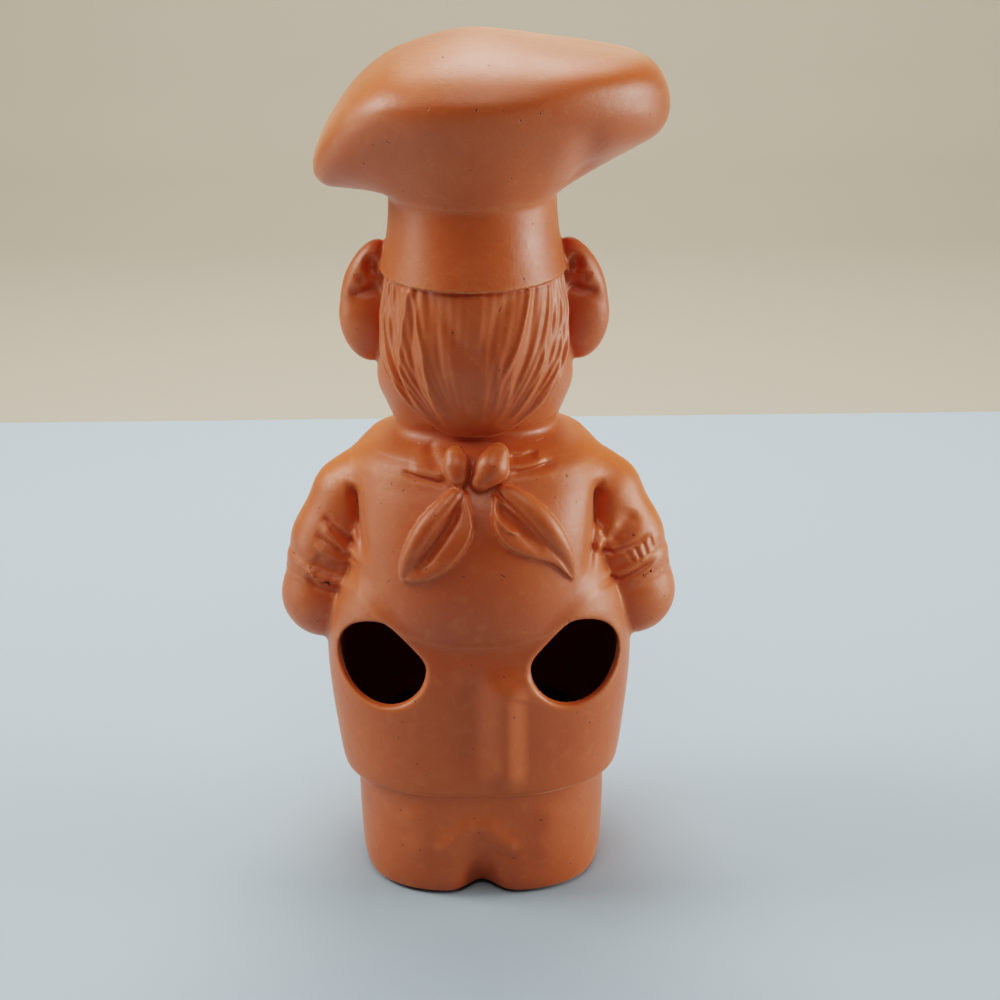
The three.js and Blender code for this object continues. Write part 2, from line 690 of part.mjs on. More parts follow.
function noseSolid() {
  return egg(facePoint(0, noseHeight), nose.radii).subtract(headOutside);
}

function leftEye() {
  return egg(facePoint(eye.apart / 2, eyeHeight), eye.radii, 0, sprigSides).subtract(headOutside);
}

// The moustache lies close under the nose.
function moustacheSolid() {
  const { half, radius, lift } = moustache;
  const middle = noseHeight - nose.radii[2] - lute - radius;
  const [low, end] = [middle - lift / 2, middle + lift / 2];
  return faceRidge([[-half, end], [-half / 2, low], [0, middle], [half / 2, low], [half, end]], radius);
}

function leftBrow() {
  const { apart, half, radius, arch } = brow;
  const [x, z] = [apart / 2, browHeight];
  const points = [[x - half, z], [x, z + arch], [x + half, z - arch]];
  return faceRidge(points, radius);
}

// The arm from shoulder to elbow, its cuff's edges square to it
const onTorso = ([x, y, up]) => [x, y, torso.foot + up];
const fromTorsoTop = ([x, y, down]) => [x, y, torso.foot + torso.height + down];
const [shoulder, elbow] = [fromTorsoTop(shoulderPoint), onTorso(elbowPoint)];
const armAxis = place(elbow).sub(place(shoulder)).normalize();
const armAxisUp = armAxis.clone().negate();
const armPlace = (share) => place(shoulder).lerp(place(elbow), share);

function upperArm(grow) {
  const below = place(elbow).addScaledVector(armAxis, elbowDrop).toArray();
  const radii = [shoulderRadius, upperArmRadius, elbowRadius, elbowRadius].map((radius) => radius + grow);
  return limb([shoulder, fromTorsoTop(upperArmPoint), elbow, below], radii, 6, limbSides + 4);
}

function leftSleeve() {
  return upperArm(0)
    .subtract(beyond(armPlace(cuffFrom), armAxis))
    .subtract(bodyOutside)
    .subtract(collarRoom);
}

function leftCuff() {
  const from = armPlace(cuffFrom).addScaledVector(armAxis, lute);
  return upperArm(cuffStand)
    .subtract(beyond(from, armAxisUp))
    .subtract(beyond(armPlace(cuffTo), armAxis))
    .subtract(bodyOutside);
}

// A finger or thumb, crooked away from the belly in the middle.
function digit(from, to, { radius, crook }) {
  const knuckle = place(from).lerp(place(to), 0.5);
  knuckle.y -= crook;
  return limb([from, knuckle.toArray(), to], [radius, radius, radius * tipShare], 2, sprigSides);
}

// The bare forearm with its elbow under the cuff, and the hand that rests on the belly.
function leftForearm() {
  const from = armPlace(cuffTo).addScaledVector(armAxis, lute);
  const sleeved = upperArm(cuffStand + lute).subtract(beyond(from, armAxis));
  let solid = egg(elbow, [elbowRadius, elbowRadius, elbowRadius])
    .add(limb(forearmPoints.map(onTorso), forearmRadii, 8))
    .add(egg(onTorso(palm.at), palm.radii))
    .add(digit(onTorso(thumbRoot), onTorso(thumbTip), thumb));
  for (let i = 0; i < finger.count; i++) {
    const [x, y, z] = onTorso(fingerRoot);
    const height = z + i * finger.spacing;
    solid = solid.add(digit([x, y, height], [x - finger.length, y, height], finger));
  }
  return solid.subtract(sleeved).subtract(bodyOutside);
}

function leftShoe() {
  const { halfWidth, halfGap, height, toe, tuck, level } = shoe;
  const middle = halfWidth + halfGap;
  const heel = surfaceAt(trousers, middle, trousers.foot + level * trousers.height, -1) + tuck;
  return egg([middle, heel, 0], [halfWidth, toe + heel, height], 0, limbSides + 4)
    .subtract(beyond(place([0, 0, 0]), place([0, 0, -1])))
    .subtract(body(trouserRings, lute));
}

function buttonAt(side, z) {
  const x = (side * button.apart) / 2;
  const at = [x, surfaceAt(z > seamLow ? torso : skirt, x, z, -1), z];
  return egg(at, [button.radius, button.stand, button.radius], 0, sprigSides).subtract(bodyOutside);
}

const figure = new THREE.Group();

function addPiece(name, solid) {
  const finish = { color: clayColour, roughness: clayRoughness, metalness: 0 };
  const mesh = new THREE.Mesh(toGeometry(solid), new THREE.MeshStandardMaterial(finish));
  mesh.name = name;
  figure.add(mesh);
}

function addPair(name, solid) {
  addPiece(`left_${name}`, solid);
  addPiece(`right_${name}`, mirrored(solid));
}

addPiece("base_slab", baseSlab());
addPiece("trousers_shell", trousersShell());
addPair("shoe", leftShoe());
addPiece("skirt_shell", skirtShell());
addPiece("torso_shell", torsoShell());
addPair("sleeve", leftSleeve());
addPair("cuff", leftCuff());
addPair("forearm", leftForearm());
addPiece("head_shell", headShell());
addPiece("hair_back", hairBack());
addPair("ear", leftEar());
addPiece("nose", noseSolid());
addPiece("moustache", moustacheSolid());
addPair("eye", leftEye());
addPair("brow", leftBrow());
addPiece("hat_band", hatBand());
addPiece("hat_crown", hatCrown());
addPiece("kerchief_collar", collar());
addPiece("kerchief_bib", bibCloth());
addPiece("kerchief_knot", knotSolid(0).subtract(body(torsoRings, 2 * lute + clothStand)));
addPiece("kerchief_tail_left", tailCloth(leftTail));
addPiece("kerchief_tail_right", tailCloth(rightTail));
for (let row = 0; row <= button.rows; row++) {
  const lower = seamLow - button.underSeam - (row - 1) * button.pitch;
  const z = row ? lower : bibTip + button.overTip;
  addPiece(`button_left_${row + 1}`, buttonAt(1, z));
  addPiece(`button_right_${row + 1}`, buttonAt(-1, z));
}

export default figure;
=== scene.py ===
# Looks of the terracotta chef figurine: every clay piece as a fine mesh, its clay, a pale floor, soft light.
# Shapes are worked out in millimetres in the model's own frame, and meshes are made in metres.
# The clay is one smooth field, below zero inside it. Each piece takes the part of it that lies nearest to
# its own form, so that neighbours share their edges, and is meshed by itself.
import math
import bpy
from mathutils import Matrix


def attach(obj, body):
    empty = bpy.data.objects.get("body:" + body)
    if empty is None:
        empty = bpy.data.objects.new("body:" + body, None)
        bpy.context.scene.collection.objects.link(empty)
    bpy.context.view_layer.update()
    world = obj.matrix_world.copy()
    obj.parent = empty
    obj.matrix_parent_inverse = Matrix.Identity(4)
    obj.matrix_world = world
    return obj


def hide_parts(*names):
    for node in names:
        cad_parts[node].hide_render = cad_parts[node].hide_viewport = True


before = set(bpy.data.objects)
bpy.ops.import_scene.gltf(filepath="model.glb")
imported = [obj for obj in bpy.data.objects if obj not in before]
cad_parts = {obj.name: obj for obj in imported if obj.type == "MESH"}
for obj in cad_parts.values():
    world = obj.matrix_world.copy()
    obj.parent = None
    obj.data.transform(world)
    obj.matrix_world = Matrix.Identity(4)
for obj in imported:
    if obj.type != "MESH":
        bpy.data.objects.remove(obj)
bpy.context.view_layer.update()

from concurrent.futures import ThreadPoolExecutor
from itertools import product

import bpy
import numpy as np
from mathutils import Matrix, Vector

MM = 0.001
# Far away, in millimetres
FAR = 1e3

# Walls of the hollow shells, and the slab inside their foot
WALL = 4
SLAB_TOP = 5
SLAB_INSET = 2.5

# Shells: foot, height, half width, reach behind and in front, squareness of the outline
TROUSERS = dict(foot=0, height=34, side=37.4, back=35.3, front=36, square=2.9)
SKIRT = dict(foot=34.3, height=57.7, side=45.2, back=37.8, front=42, square=2.9)
TORSO = dict(foot=80, height=57, side=39, back=40.3, front=45, square=2.3)
HEAD = dict(foot=137.3, height=46.7, side=28, back=27.9, front=27.6, square=2.1)
BAND = dict(foot=184.3, height=21.7, side=26.5, back=30.8, front=28.6, square=2.1)

# Levels of each shell, as shares of its height, half width and reach behind and in front
TROUSER_LEVELS = [
    (0, 0.925, 0.918, 0.878), (0.05, 0.952, 0.958, 0.917), (0.18, 0.976, 0.986, 0.944),
    (0.44, 0.989, 1, 0.972), (0.7, 0.995, 0.997, 0.989), (1, 1, 0.992, 1),
]
SKIRT_LEVELS = [
    (0, 0.892, 0.942, 0.919), (0.04, 0.92, 0.971, 0.948), (0.24, 0.958, 0.987, 0.976),
    (0.48, 0.991, 1, 1), (0.65, 1, 1, 1), (0.84, 0.987, 0.968, 0.986), (1, 0.942, 0.937, 0.962),
]
TORSO_LEVELS = [
    (0, 0.959, 0.883, 0.924), (0.105, 0.99, 0.963, 0.973), (0.245, 1, 1, 1), (0.42, 0.99, 0.988, 0.969),
    (0.6, 0.974, 0.938, 0.876), (0.755, 0.949, 0.829, 0.742), (0.86, 0.897, 0.71, 0.622),
    (0.94, 0.769, 0.596, 0.524), (1, 0.564, 0.481, 0.413), (1.05, 0.46, 0.42, 0.36), (1.12, 0.42, 0.39, 0.33),
    (1.25, 0.4, 0.38, 0.32),
]
HEAD_LEVELS = [
    (0, 0.793, 0.602, 0.63), (0.165, 0.911, 0.753, 0.87), (0.315, 1, 0.875, 0.978),
    (0.485, 0.979, 0.968, 1), (0.68, 0.911, 1, 0.993), (1, 0.879, 0.968, 0.942),
]
BAND_LEVELS = [(0, 1, 1, 1), (0.49, 0.913, 0.883, 0.902), (1, 0.883, 0.805, 0.839)]

# Crown of the hat, from its right end to its left end: place across, height of its rim over the crown's
# foot, reach behind and in front of the ellipsoid that its dome follows, the dome's rise over the rim, how
# far the bowl under it starts below the rim, and the squareness of the dome's section
CROWN = dict(foot=206.3, middle=-5.3, half=49.3, depth=40, below=70, bowl=0.95, round=5.5, over=0.8)
CROWN_LEVELS = [
    (-54, 24, 35.6, 24, 7, 2.3), (-48, 26.7, 36, 17.6, 7, 2.6), (-40, 28.1, 36.6, 13.6, 6, 2.8),
    (-31, 28.3, 37.5, 12.7, 5, 2.7), (-21, 27.7, 38.6, 13.6, 4, 2.4), (-10, 26.1, 39.6, 16.5, 3.2, 2.15),
    (2, 24.7, 40.6, 18.8, 3, 2.15), (13, 23.7, 41.1, 18.3, 3, 2.3), (23, 23.1, 40.3, 16.6, 3.6, 2.5),
    (32, 19.7, 39.1, 15.3, 5, 2.6), (38.6, 14.7, 39.6, 14, 6, 2.4), (44, 8, 42, 16, 6, 2.2),
]

# Heights at which shells end inside their neighbours, where nothing shows
TORSO_TOP = 139
NECK_FOOT = 126
HEAD_TOP = 188
BAND_TOP = 210
TROUSERS_TOP = 40

# Seam under the belly
SEAM_LOW = TORSO["foot"] + 2.4
SEAM_RISE = 8
SEAM_HALF = 34

# Round openings in the back. The belly over them flattens their upper inner edge.
OPENING = dict(radius=12.8, apart=55.4, z=75.8, start=8, flat=10.4, turn=45, lip=1.9)

# Arms: the left one, mirrored for the right
SHOULDER = (35.6, 2, 115.4)
UPPER_ARM = (42, 4, 103)
ELBOW = (45.4, 4.4, 87)
FOREARM = [(45.4, 2, 84.2), (45.4, -12.1, 82.4), (41.3, -27.9, 83.6), (31.8, -39.6, 87), (21.3, -45, 90)]
FOREARM_RADII = [10.6, 10.2, 9.2, 7.8, 7]
ARM_RADII = [13.3, 12.1, 12]
ELBOW_RADII = (12, 12.4, 12)
CUFF = (0.66, 0.84)
CUFF_STAND = 0.15
PALM = (17, -46, 90.6)
PALM_RADII = (8, 5, 8.2)
FINGER = dict(root=(14, -47.6, 85.4), length=9.5, spacing=3.7, count=4, radius=2.5, crook=0.9)
THUMB = dict(root=(19, -46.4, 95), tip=(11.5, -46.6, 99.6), radius=2.7)

SHOE = dict(middle=17.4, half=15.4, height=12.5, toe=50, heel=-30)

# Layers of hair and cloth, and how deep they are keyed into the clay under them
HAIR_STAND = 2.4
COLLAR_FOOT = 129.8
COLLAR_TOP = 142.5
HAIR_FOOT = 140
BIB = dict(half=24, length=25.8, stand=2.2, top=135)
KEY = 3
TAIL_STAND = 1.9
# The middle of a tail's rolled edge stands off the jacket by this share of its radius
ROLL_STAND = 0.35
# Millimetres in a degree round the head, near the hair's edge
EDGE_DEGREE = 0.42


class Curve:
    """Smooth curves through knots: the values and slopes of all of them at any place."""

    def __init__(self, places, *values):
        self.places = np.asarray(places, float)
        self.values = np.asarray(values, float)
        last = len(self.places) - 1
        below = np.maximum(np.arange(last + 1) - 1, 0)
        above = np.minimum(np.arange(last + 1) + 1, last)
        rises = self.values[:, above] - self.values[:, below]
        self.slopes = rises / (self.places[above] - self.places[below])

    def __call__(self, place):
        i = np.clip(np.searchsorted(self.places, place) - 1, 0, len(self.places) - 2)
        step = self.places[i + 1] - self.places[i]
        raw = (place - self.places[i]) / step
        t = np.clip(raw, 0, 1)
        a, b = self.values[:, i], self.values[:, i + 1]
        da, db = self.slopes[:, i] * step, self.slopes[:, i + 1] * step
        t2, t3 = t * t, t * t * t
        value = (2 * t3 - 3 * t2 + 1) * a + (3 * t2 - 2 * t3) * b
        value = value + (t3 - 2 * t2 + t) * da + (t3 - t2) * db
        slope = (6 * t2 - 6 * t) * (a - b) + (3 * t2 - 4 * t + 1) * da + (3 * t2 - 2 * t) * db
        return value, np.where(raw == t, slope / step, 0)


def join(a, b, width):
    """The lower of two fields, with a fillet where they meet."""
    share = np.clip(0.5 + 0.5 * (b - a) / width, 0, 1)
    return b + (a - b) * share - width * share * (1 - share)


def trim(a, b, width):
    """The higher of two fields, with a fillet where one cuts the other off."""
    return -join(-a, -b, width)


class Body:
    """The outside of a shell: a rounded square at every height, its sizes on smooth curves."""

    def __init__(self, levels, foot, height, side, back, front, square):
        up, sides, backs, fronts = np.array(levels, float).T
        self.curve = Curve(foot + up * height, sides * side, backs * back, fronts * front)
        self.square = square

    def __call__(self, x, y, z):
        (side, back, front), (side_slope, back_slope, front_slope) = self.curve(z)
        behind = y > 0
        depth = np.where(behind, back, front)
        depth_slope = np.where(behind, back_slope, front_slope)
        n = self.square
        u, v = np.abs(x) / side, np.abs(y) / depth
        un, vn = u ** n, v ** n
        size = np.maximum((un + vn) ** (1 / n), 1e-4)
        lift = size ** (1 - n)
        along_x = u ** (n - 1) / side
        along_y = v ** (n - 1) / depth
        along_z = un * side_slope / side + vn * depth_slope / depth
        return (size - 1) / np.maximum(lift * np.sqrt(along_x ** 2 + along_y ** 2 + along_z ** 2), 1e-3)

    def ring(self, x, y, height):
        """How far out a place lies at a height, seen from above: 1 on the outline."""
        (side, back, front), _ = self.curve(np.asarray(float(height)))
        depth = np.where(y > 0, back, front)
        return ((np.abs(x) / side) ** self.square + (np.abs(y) / depth) ** self.square) ** (1 / self.square)

    def surface(self, x, z, end):
        """How far behind (+1) or in front (-1) of the axis the surface lies."""
        (side, back, front), _ = self.curve(np.asarray(float(z)))
        share = max(1 - (abs(x) / side) ** self.square, 0) ** (1 / self.square)
        return float(end * share * (back if end > 0 else front))


def smooth_line(points, count=16):
    """A line through the same points with its corners rounded."""
    curve = Curve(np.arange(len(points)), *np.array(points, float).T)
    values, _ = curve(np.linspace(0, len(points) - 1, count))
    return [tuple(value) for value in values.T]


def segment(x, y, z, start, end, start_radius, end_radius):
    """A round bar between two points that tapers evenly."""
    ax, ay, az = start
    dx, dy, dz = (e - s for e, s in zip(end, start))
    length = dx * dx + dy * dy + dz * dz
    t = np.clip(((x - ax) * dx + (y - ay) * dy + (z - az) * dz) / length, 0, 1)
    gap = np.sqrt((x - ax - t * dx) ** 2 + (y - ay - t * dy) ** 2 + (z - az - t * dz) ** 2)
    return gap - start_radius - t * (end_radius - start_radius)


def limb(x, y, z, points, radii, width):
    field = None
    for i in range(len(points) - 1):
        bar = segment(x, y, z, points[i], points[i + 1], radii[i], radii[i + 1])
        field = bar if field is None else join(field, bar, width)
    return field


def egg(x, y, z, centre, radii, lean=0.0):
    """An ellipsoid, leaned sideways in degrees."""
    cx, cy, cz = centre
    rx, ry, rz = radii
    dx, dy, dz = x - cx, y - cy, z - cz
    if lean:
        c, s = math.cos(math.radians(lean)), math.sin(math.radians(lean))
        dx, dz = c * dx - s * dz, s * dx + c * dz
    k0 = np.sqrt((dx / rx) ** 2 + (dy / ry) ** 2 + (dz / rz) ** 2)
    k1 = np.sqrt((dx / rx ** 2) ** 2 + (dy / ry ** 2) ** 2 + (dz / rz ** 2) ** 2)
    return np.where(k1 > 1e-6, k0 * (k0 - 1) / np.maximum(k1, 1e-6), -min(radii))


def trace(u, v, points):
    """The distance from a line of points in two dimensions, and the share of the way along it."""
    best = np.full(u.shape, FAR)
    share = np.zeros(u.shape)
    count = len(points) - 1
    for i in range(count):
        (au, av), (bu, bv) = points[i], points[i + 1]
        du, dv = bu - au, bv - av
        t = np.clip(((u - au) * du + (v - av) * dv) / (du * du + dv * dv), 0, 1)
        gap = np.hypot(u - au - t * du, v - av - t * dv)
        nearer = gap < best
        best = np.where(nearer, gap, best)
        share = np.where(nearer, (i + t) / count, share)
    return best, share


def fade(value, start, end):
    """A smooth step from 0 at start to 1 at end."""
    t = np.clip((value - start) / (end - start), 0, 1)
    return t * t * (3 - 2 * t)


trouser_body = Body(TROUSER_LEVELS, **TROUSERS)
skirt_body = Body(SKIRT_LEVELS, **SKIRT)
torso_body = Body(TORSO_LEVELS, **TORSO)
head_body = Body(HEAD_LEVELS, **HEAD)
band_body = Body(BAND_LEVELS, **BAND)
crown_curve = Curve(*np.array(CROWN_LEVELS, float).T)


def seam_height(x):
    """The seam under the belly, low in the middle and rising towards the elbows."""
    t = np.minimum(np.abs(x) / SEAM_HALF, 1)
    return SEAM_LOW + SEAM_RISE * t * t


def ridge(u, v, points, height, width, taper=0.25):
    """A ridge along a line of points, or a groove where its height is below zero, faded at both ends."""
    gap, share = trace(u, v, points)
    ends = fade(share, -0.02, taper) * fade(1 - share, -0.02, taper)
    return height * ends * np.exp(-(gap / width) ** 2)


def ridges(u, v, lines):
    return sum(ridge(u, v, points, height, width) for points, height, width in lines)


TROUSER_FOLDS = [
    ([(0.5, 27), (7, 20), (14, 15)], 1.0, 3), ([(0.5, 27), (-5, 20), (-11, 15)], 0.9, 3),
    ([(21, 31), (17, 21), (19, 10)], 0.6, 4.5), ([(-22, 31), (-19, 21), (-20, 9)], 0.6, 4.5),
    ([(-4, 17), (-10, 12)], -0.5, 2.5),
]


def legs(x, y, z):
    """Both trouser legs with the clefts between them, before their foot is rounded."""
    heel = 6.4 * np.exp(-(x / 5.4) ** 2 - (z / 13) ** 2) * fade(y, 0, 20)
    front = 5.5 * np.exp(-(x / 4.6) ** 2 - (z / 60) ** 2) * fade(-y, 0, 20)
    return trouser_body(x, y, z) + heel + front - ridges(x, z, TROUSER_FOLDS) * fade(y, 0, 15)


def trousers(x, y, z):
    return trim(trim(legs(x, y, z), -z, 2.2), z - TROUSERS_TOP, 1)


def pleat(x, y, z):
    """The pleat down the back: a soft wedge with a crisp edge on the figure's right."""
    across = x + 10.2
    rise = fade(across, -4.2, 2.4) * (1 - fade(across, 2.4, 12))
    length = fade(z, 78, 68) * fade(z, 34, 44)
    hollow = ridge(x, z, [(2, 77), (2.5, 60), (3, 40)], 1.0, 5)
    return (2.3 * rise * length - hollow + ridge(x, z, [(-15, 74), (-11, 66)], 0.7, 3)) * fade(y, 5, 25)


def skirt(x, y, z):
    side = fade(np.abs(x), 14, 30)
    field = skirt_body(x, y, z) - pleat(x, y, z)
    field = trim(field, SKIRT["foot"] - z, 0.9 + 2.3 * side)
    return trim(field, z - seam_height(x) - 1.5 - 3.5 * side, 2 + 6 * side)


def torso_fillet(x, y, z):
    return 2.4 + 5 * fade(np.abs(x), 16, 32)


def torso(x, y, z):
    return trim(trim(torso_body(x, y, z), seam_height(x) - z, 2.8), z - TORSO_TOP, 4)


def head(x, y, z):
    return trim(trim(head_body(x, y, z), NECK_FOOT - z, 1), z - HEAD_TOP, 1)


def band(x, y, z):
    return trim(trim(band_body(x, y, z), BAND["foot"] - z, 0.6), z - BAND_TOP, 1)


def crown(x, y, z):
    (edge, width, rise, _, square), (edge_slope, width_slope, rise_slope, _, _) = crown_curve(x)
    edge = edge + CROWN["foot"]
    over = z > edge
    rise = np.where(over, rise, CROWN["below"])
    rise_slope = np.where(over, rise_slope, 0)
    u = (x - CROWN["middle"]) / CROWN["half"]
    v = np.abs(y) / width
    w = np.abs(z - edge) / rise
    up = np.where(over, 1, -1)
    section = np.maximum((v ** square + w ** square) ** (1 / square), 1e-4)
    size = np.maximum(np.hypot(u, section), 1e-4)
    lift = section ** (1 - square)
    v_share, w_share = lift * v ** (square - 1), lift * w ** (square - 1)
    section_x = -v_share * v * width_slope / width - w_share * (up * edge_slope + w * rise_slope) / rise
    along_x = u / CROWN["half"] + section * section_x
    slope = np.sqrt(along_x ** 2 + (section * v_share / width) ** 2 + (section * w_share / rise) ** 2) / size
    dome = (size - 1) / np.maximum(slope, 1e-3)
    return trim(dome, underside(x, y, z), CROWN["round"]) + crown_fold(x, y, z)


def crown_fold(x, y, z):
    """A shallow hollow low on the crown's back, on the figure's right."""
    across = np.exp(-((x + 30.5) / 5) ** 2)
    up = fade(z, 207, 213) * (1 - fade(z, 222, 232))
    return 1.6 * across * up * fade(y, 5, 15)


def underside(x, y, z):
    """The bowl under the crown: from the band's top out and up to the rim."""
    away = np.maximum(np.hypot(x, y), 1e-3)
    cx, cy = x / away, y / away
    a, b = CROWN["half"], CROWN["depth"]
    shift = CROWN["middle"]
    qa = (cx / a) ** 2 + (cy / b) ** 2
    qb = -cx * shift / a ** 2
    qc = (shift / a) ** 2 - 1
    rim = (-qb + np.sqrt(qb * qb - qa * qc)) / qa
    foot = 1 / band_body.ring(cx, cy, BAND["foot"] + BAND["height"]) + CROWN["over"]
    (edge, _, _, drop, _), _ = crown_curve(cx * rim)
    height = np.maximum(edge - drop, 0.3)
    share = np.clip((away - foot) / (rim - foot), 0, 1.3)
    low = CROWN["foot"] + height * share ** CROWN["bowl"]
    slope = height / (rim - foot)
    return (low - z) / np.sqrt(1 + slope ** 2)


ARM_AXIS = np.array(ELBOW, float) - np.array(SHOULDER, float)
ARM_LENGTH = float(np.linalg.norm(ARM_AXIS))


def arm_share(x, y, z):
    """How far along the upper arm a point lies: 0 at the shoulder, 1 at the elbow."""
    dx, dy, dz = ARM_AXIS / ARM_LENGTH ** 2
    return (x - SHOULDER[0]) * dx + (y - SHOULDER[1]) * dy + (z - SHOULDER[2]) * dz


def upper_arm(x, y, z):
    return limb(x, y, z, [SHOULDER, UPPER_ARM, ELBOW], ARM_RADII, 4)


def sleeve_fillet(x, y, z):
    """The crease beside the sleeve is crisp at the back and fades out over the shoulder."""
    return 1.1 + 6 * fade(z, 118, 129)


LEFT_FOLDS = [
    ([(44.5, 114.8), (42, 112), (38, 108.2), (34, 106)], -0.9, 1.2),
    ([(44.9, 112.9), (42.6, 109.6), (38.3, 105.4), (33.2, 103.4)], 0.7, 1.2),
    ([(47, 109.5), (42, 106.6), (38, 103.6)], -0.7, 1.0),
    ([(47.2, 106.9), (43.5, 104.4), (39.4, 101.8), (34, 101.5)], 0.6, 1.0),
    ([(47.5, 103), (44, 100), (39, 98.5)], -0.9, 2.2),
    ([(50, 99.9), (47.2, 96.8), (42.8, 95.2), (36.4, 95)], 0.7, 1.1),
    ([(50, 97.2), (47, 94), (42.5, 92.2), (37, 92)], -0.9, 1.5),
    ([(35.4, 125), (35, 120.5), (34, 115), (33, 110), (32.4, 104)], -2.0, 1.9),
]
RIGHT_FOLDS = [
    ([(-34.6, 126), (-34.4, 120), (-33.4, 113), (-32.4, 105), (-31.4, 99)], -2.0, 1.9),
    ([(-35.4, 122), (-36, 116), (-35, 110)], -0.9, 2.6),
    ([(-33.6, 105.4), (-37.4, 107.9), (-40.6, 113)], 0.7, 1.5),
    ([(-38, 105.8), (-42, 109.5), (-45, 115.5)], -1.1, 2.8),
    ([(-33.2, 104), (-39.1, 103.2), (-43.1, 104.6), (-46.6, 105.9), (-51.4, 108)], -1.1, 1.0),
    ([(-33.2, 98.6), (-40.6, 97.4), (-45.5, 99.8), (-51.8, 103)], 0.5, 1.5),
    ([(-33.2, 96.4), (-40.6, 94.9), (-45.5, 97.2), (-52.4, 100.6)], -0.9, 1.0),
    ([(-43, 104), (-45.3, 99.8)], -0.35, 0.7), ([(-45.3, 105), (-47.4, 100.4)], -0.5, 0.7),
    ([(-47.8, 106), (-49.2, 101.6)], -0.5, 0.7), ([(-49.8, 107), (-51, 103)], -0.4, 0.7),
]


def left_folds(x, y, z):
    """Folds where the left arm bends, and the crease beside it, seen from behind."""
    return ridges(x, z, LEFT_FOLDS) * fade(y, 2, 10)


def right_folds(x, y, z):
    return ridges(x, z, RIGHT_FOLDS) * fade(y, 2, 10)


def sleeve(x, y, z):
    return trim(upper_arm(x, y, z), (arm_share(x, y, z) - CUFF[0] - 0.1) * ARM_LENGTH, 1)


def sleeve_claim(x, y, z):
    return np.maximum(upper_arm(x, y, z), (arm_share(x, y, z) - CUFF[0]) * ARM_LENGTH)


def cuff_ends(x, y, z):
    share = arm_share(x, y, z)
    return np.maximum(CUFF[0] - share, share - CUFF[1]) * ARM_LENGTH


def cuff(x, y, z):
    return trim(upper_arm(x, y, z) - CUFF_STAND, cuff_ends(x, y, z), 1)


def cuff_claim(x, y, z):
    return np.maximum(upper_arm(x, y, z) - CUFF_STAND, cuff_ends(x, y, z))


def digit(x, y, z, root, tip, radius, crook):
    knuckle = ((root[0] + tip[0]) / 2, (root[1] + tip[1]) / 2 - crook, (root[2] + tip[2]) / 2)
    return limb(x, y, z, [root, knuckle, tip], [radius, radius, radius * 0.85], 0.6)


def forearm(x, y, z):
    bend = trim(upper_arm(x, y, z), (CUFF[1] - 0.12 - arm_share(x, y, z)) * ARM_LENGTH, 1)
    field = join(egg(x, y, z, ELBOW, ELBOW_RADII), limb(x, y, z, FOREARM, FOREARM_RADII, 3), 3)
    field = join(field, bend, 4)
    field = join(field, egg(x, y, z, PALM, PALM_RADII), 3)
    field = join(field, digit(x, y, z, THUMB["root"], THUMB["tip"], THUMB["radius"], 0.8), 1)
    root = FINGER["root"]
    for i in range(FINGER["count"]):
        low = (root[0], root[1], root[2] + i * FINGER["spacing"])
        tip = (root[0] - FINGER["length"], root[1], low[2])
        field = join(field, digit(x, y, z, low, tip, FINGER["radius"], FINGER["crook"]), 0.7)
    return field


def forearm_claim(x, y, z):
    above_bend = np.minimum((CUFF[1] - arm_share(x, y, z)) * ARM_LENGTH, 1 - upper_arm(x, y, z))
    return np.maximum(forearm(x, y, z), above_bend)


def shoe(x, y, z):
    middle = (SHOE["middle"], SHOE["heel"], 0)
    field = egg(x, y, z, middle, (SHOE["half"], SHOE["toe"] + SHOE["heel"], SHOE["height"]))
    return trim(field, -z, 1.5)


# Edge of the hair round the head, in degrees from the middle of the back, at each height
hair_edge = Curve([139, 141, 143.5, 147, 152, 159, 167, 176, 186], [8, 22, 30, 37, 44, 56, 68, 77, 84])

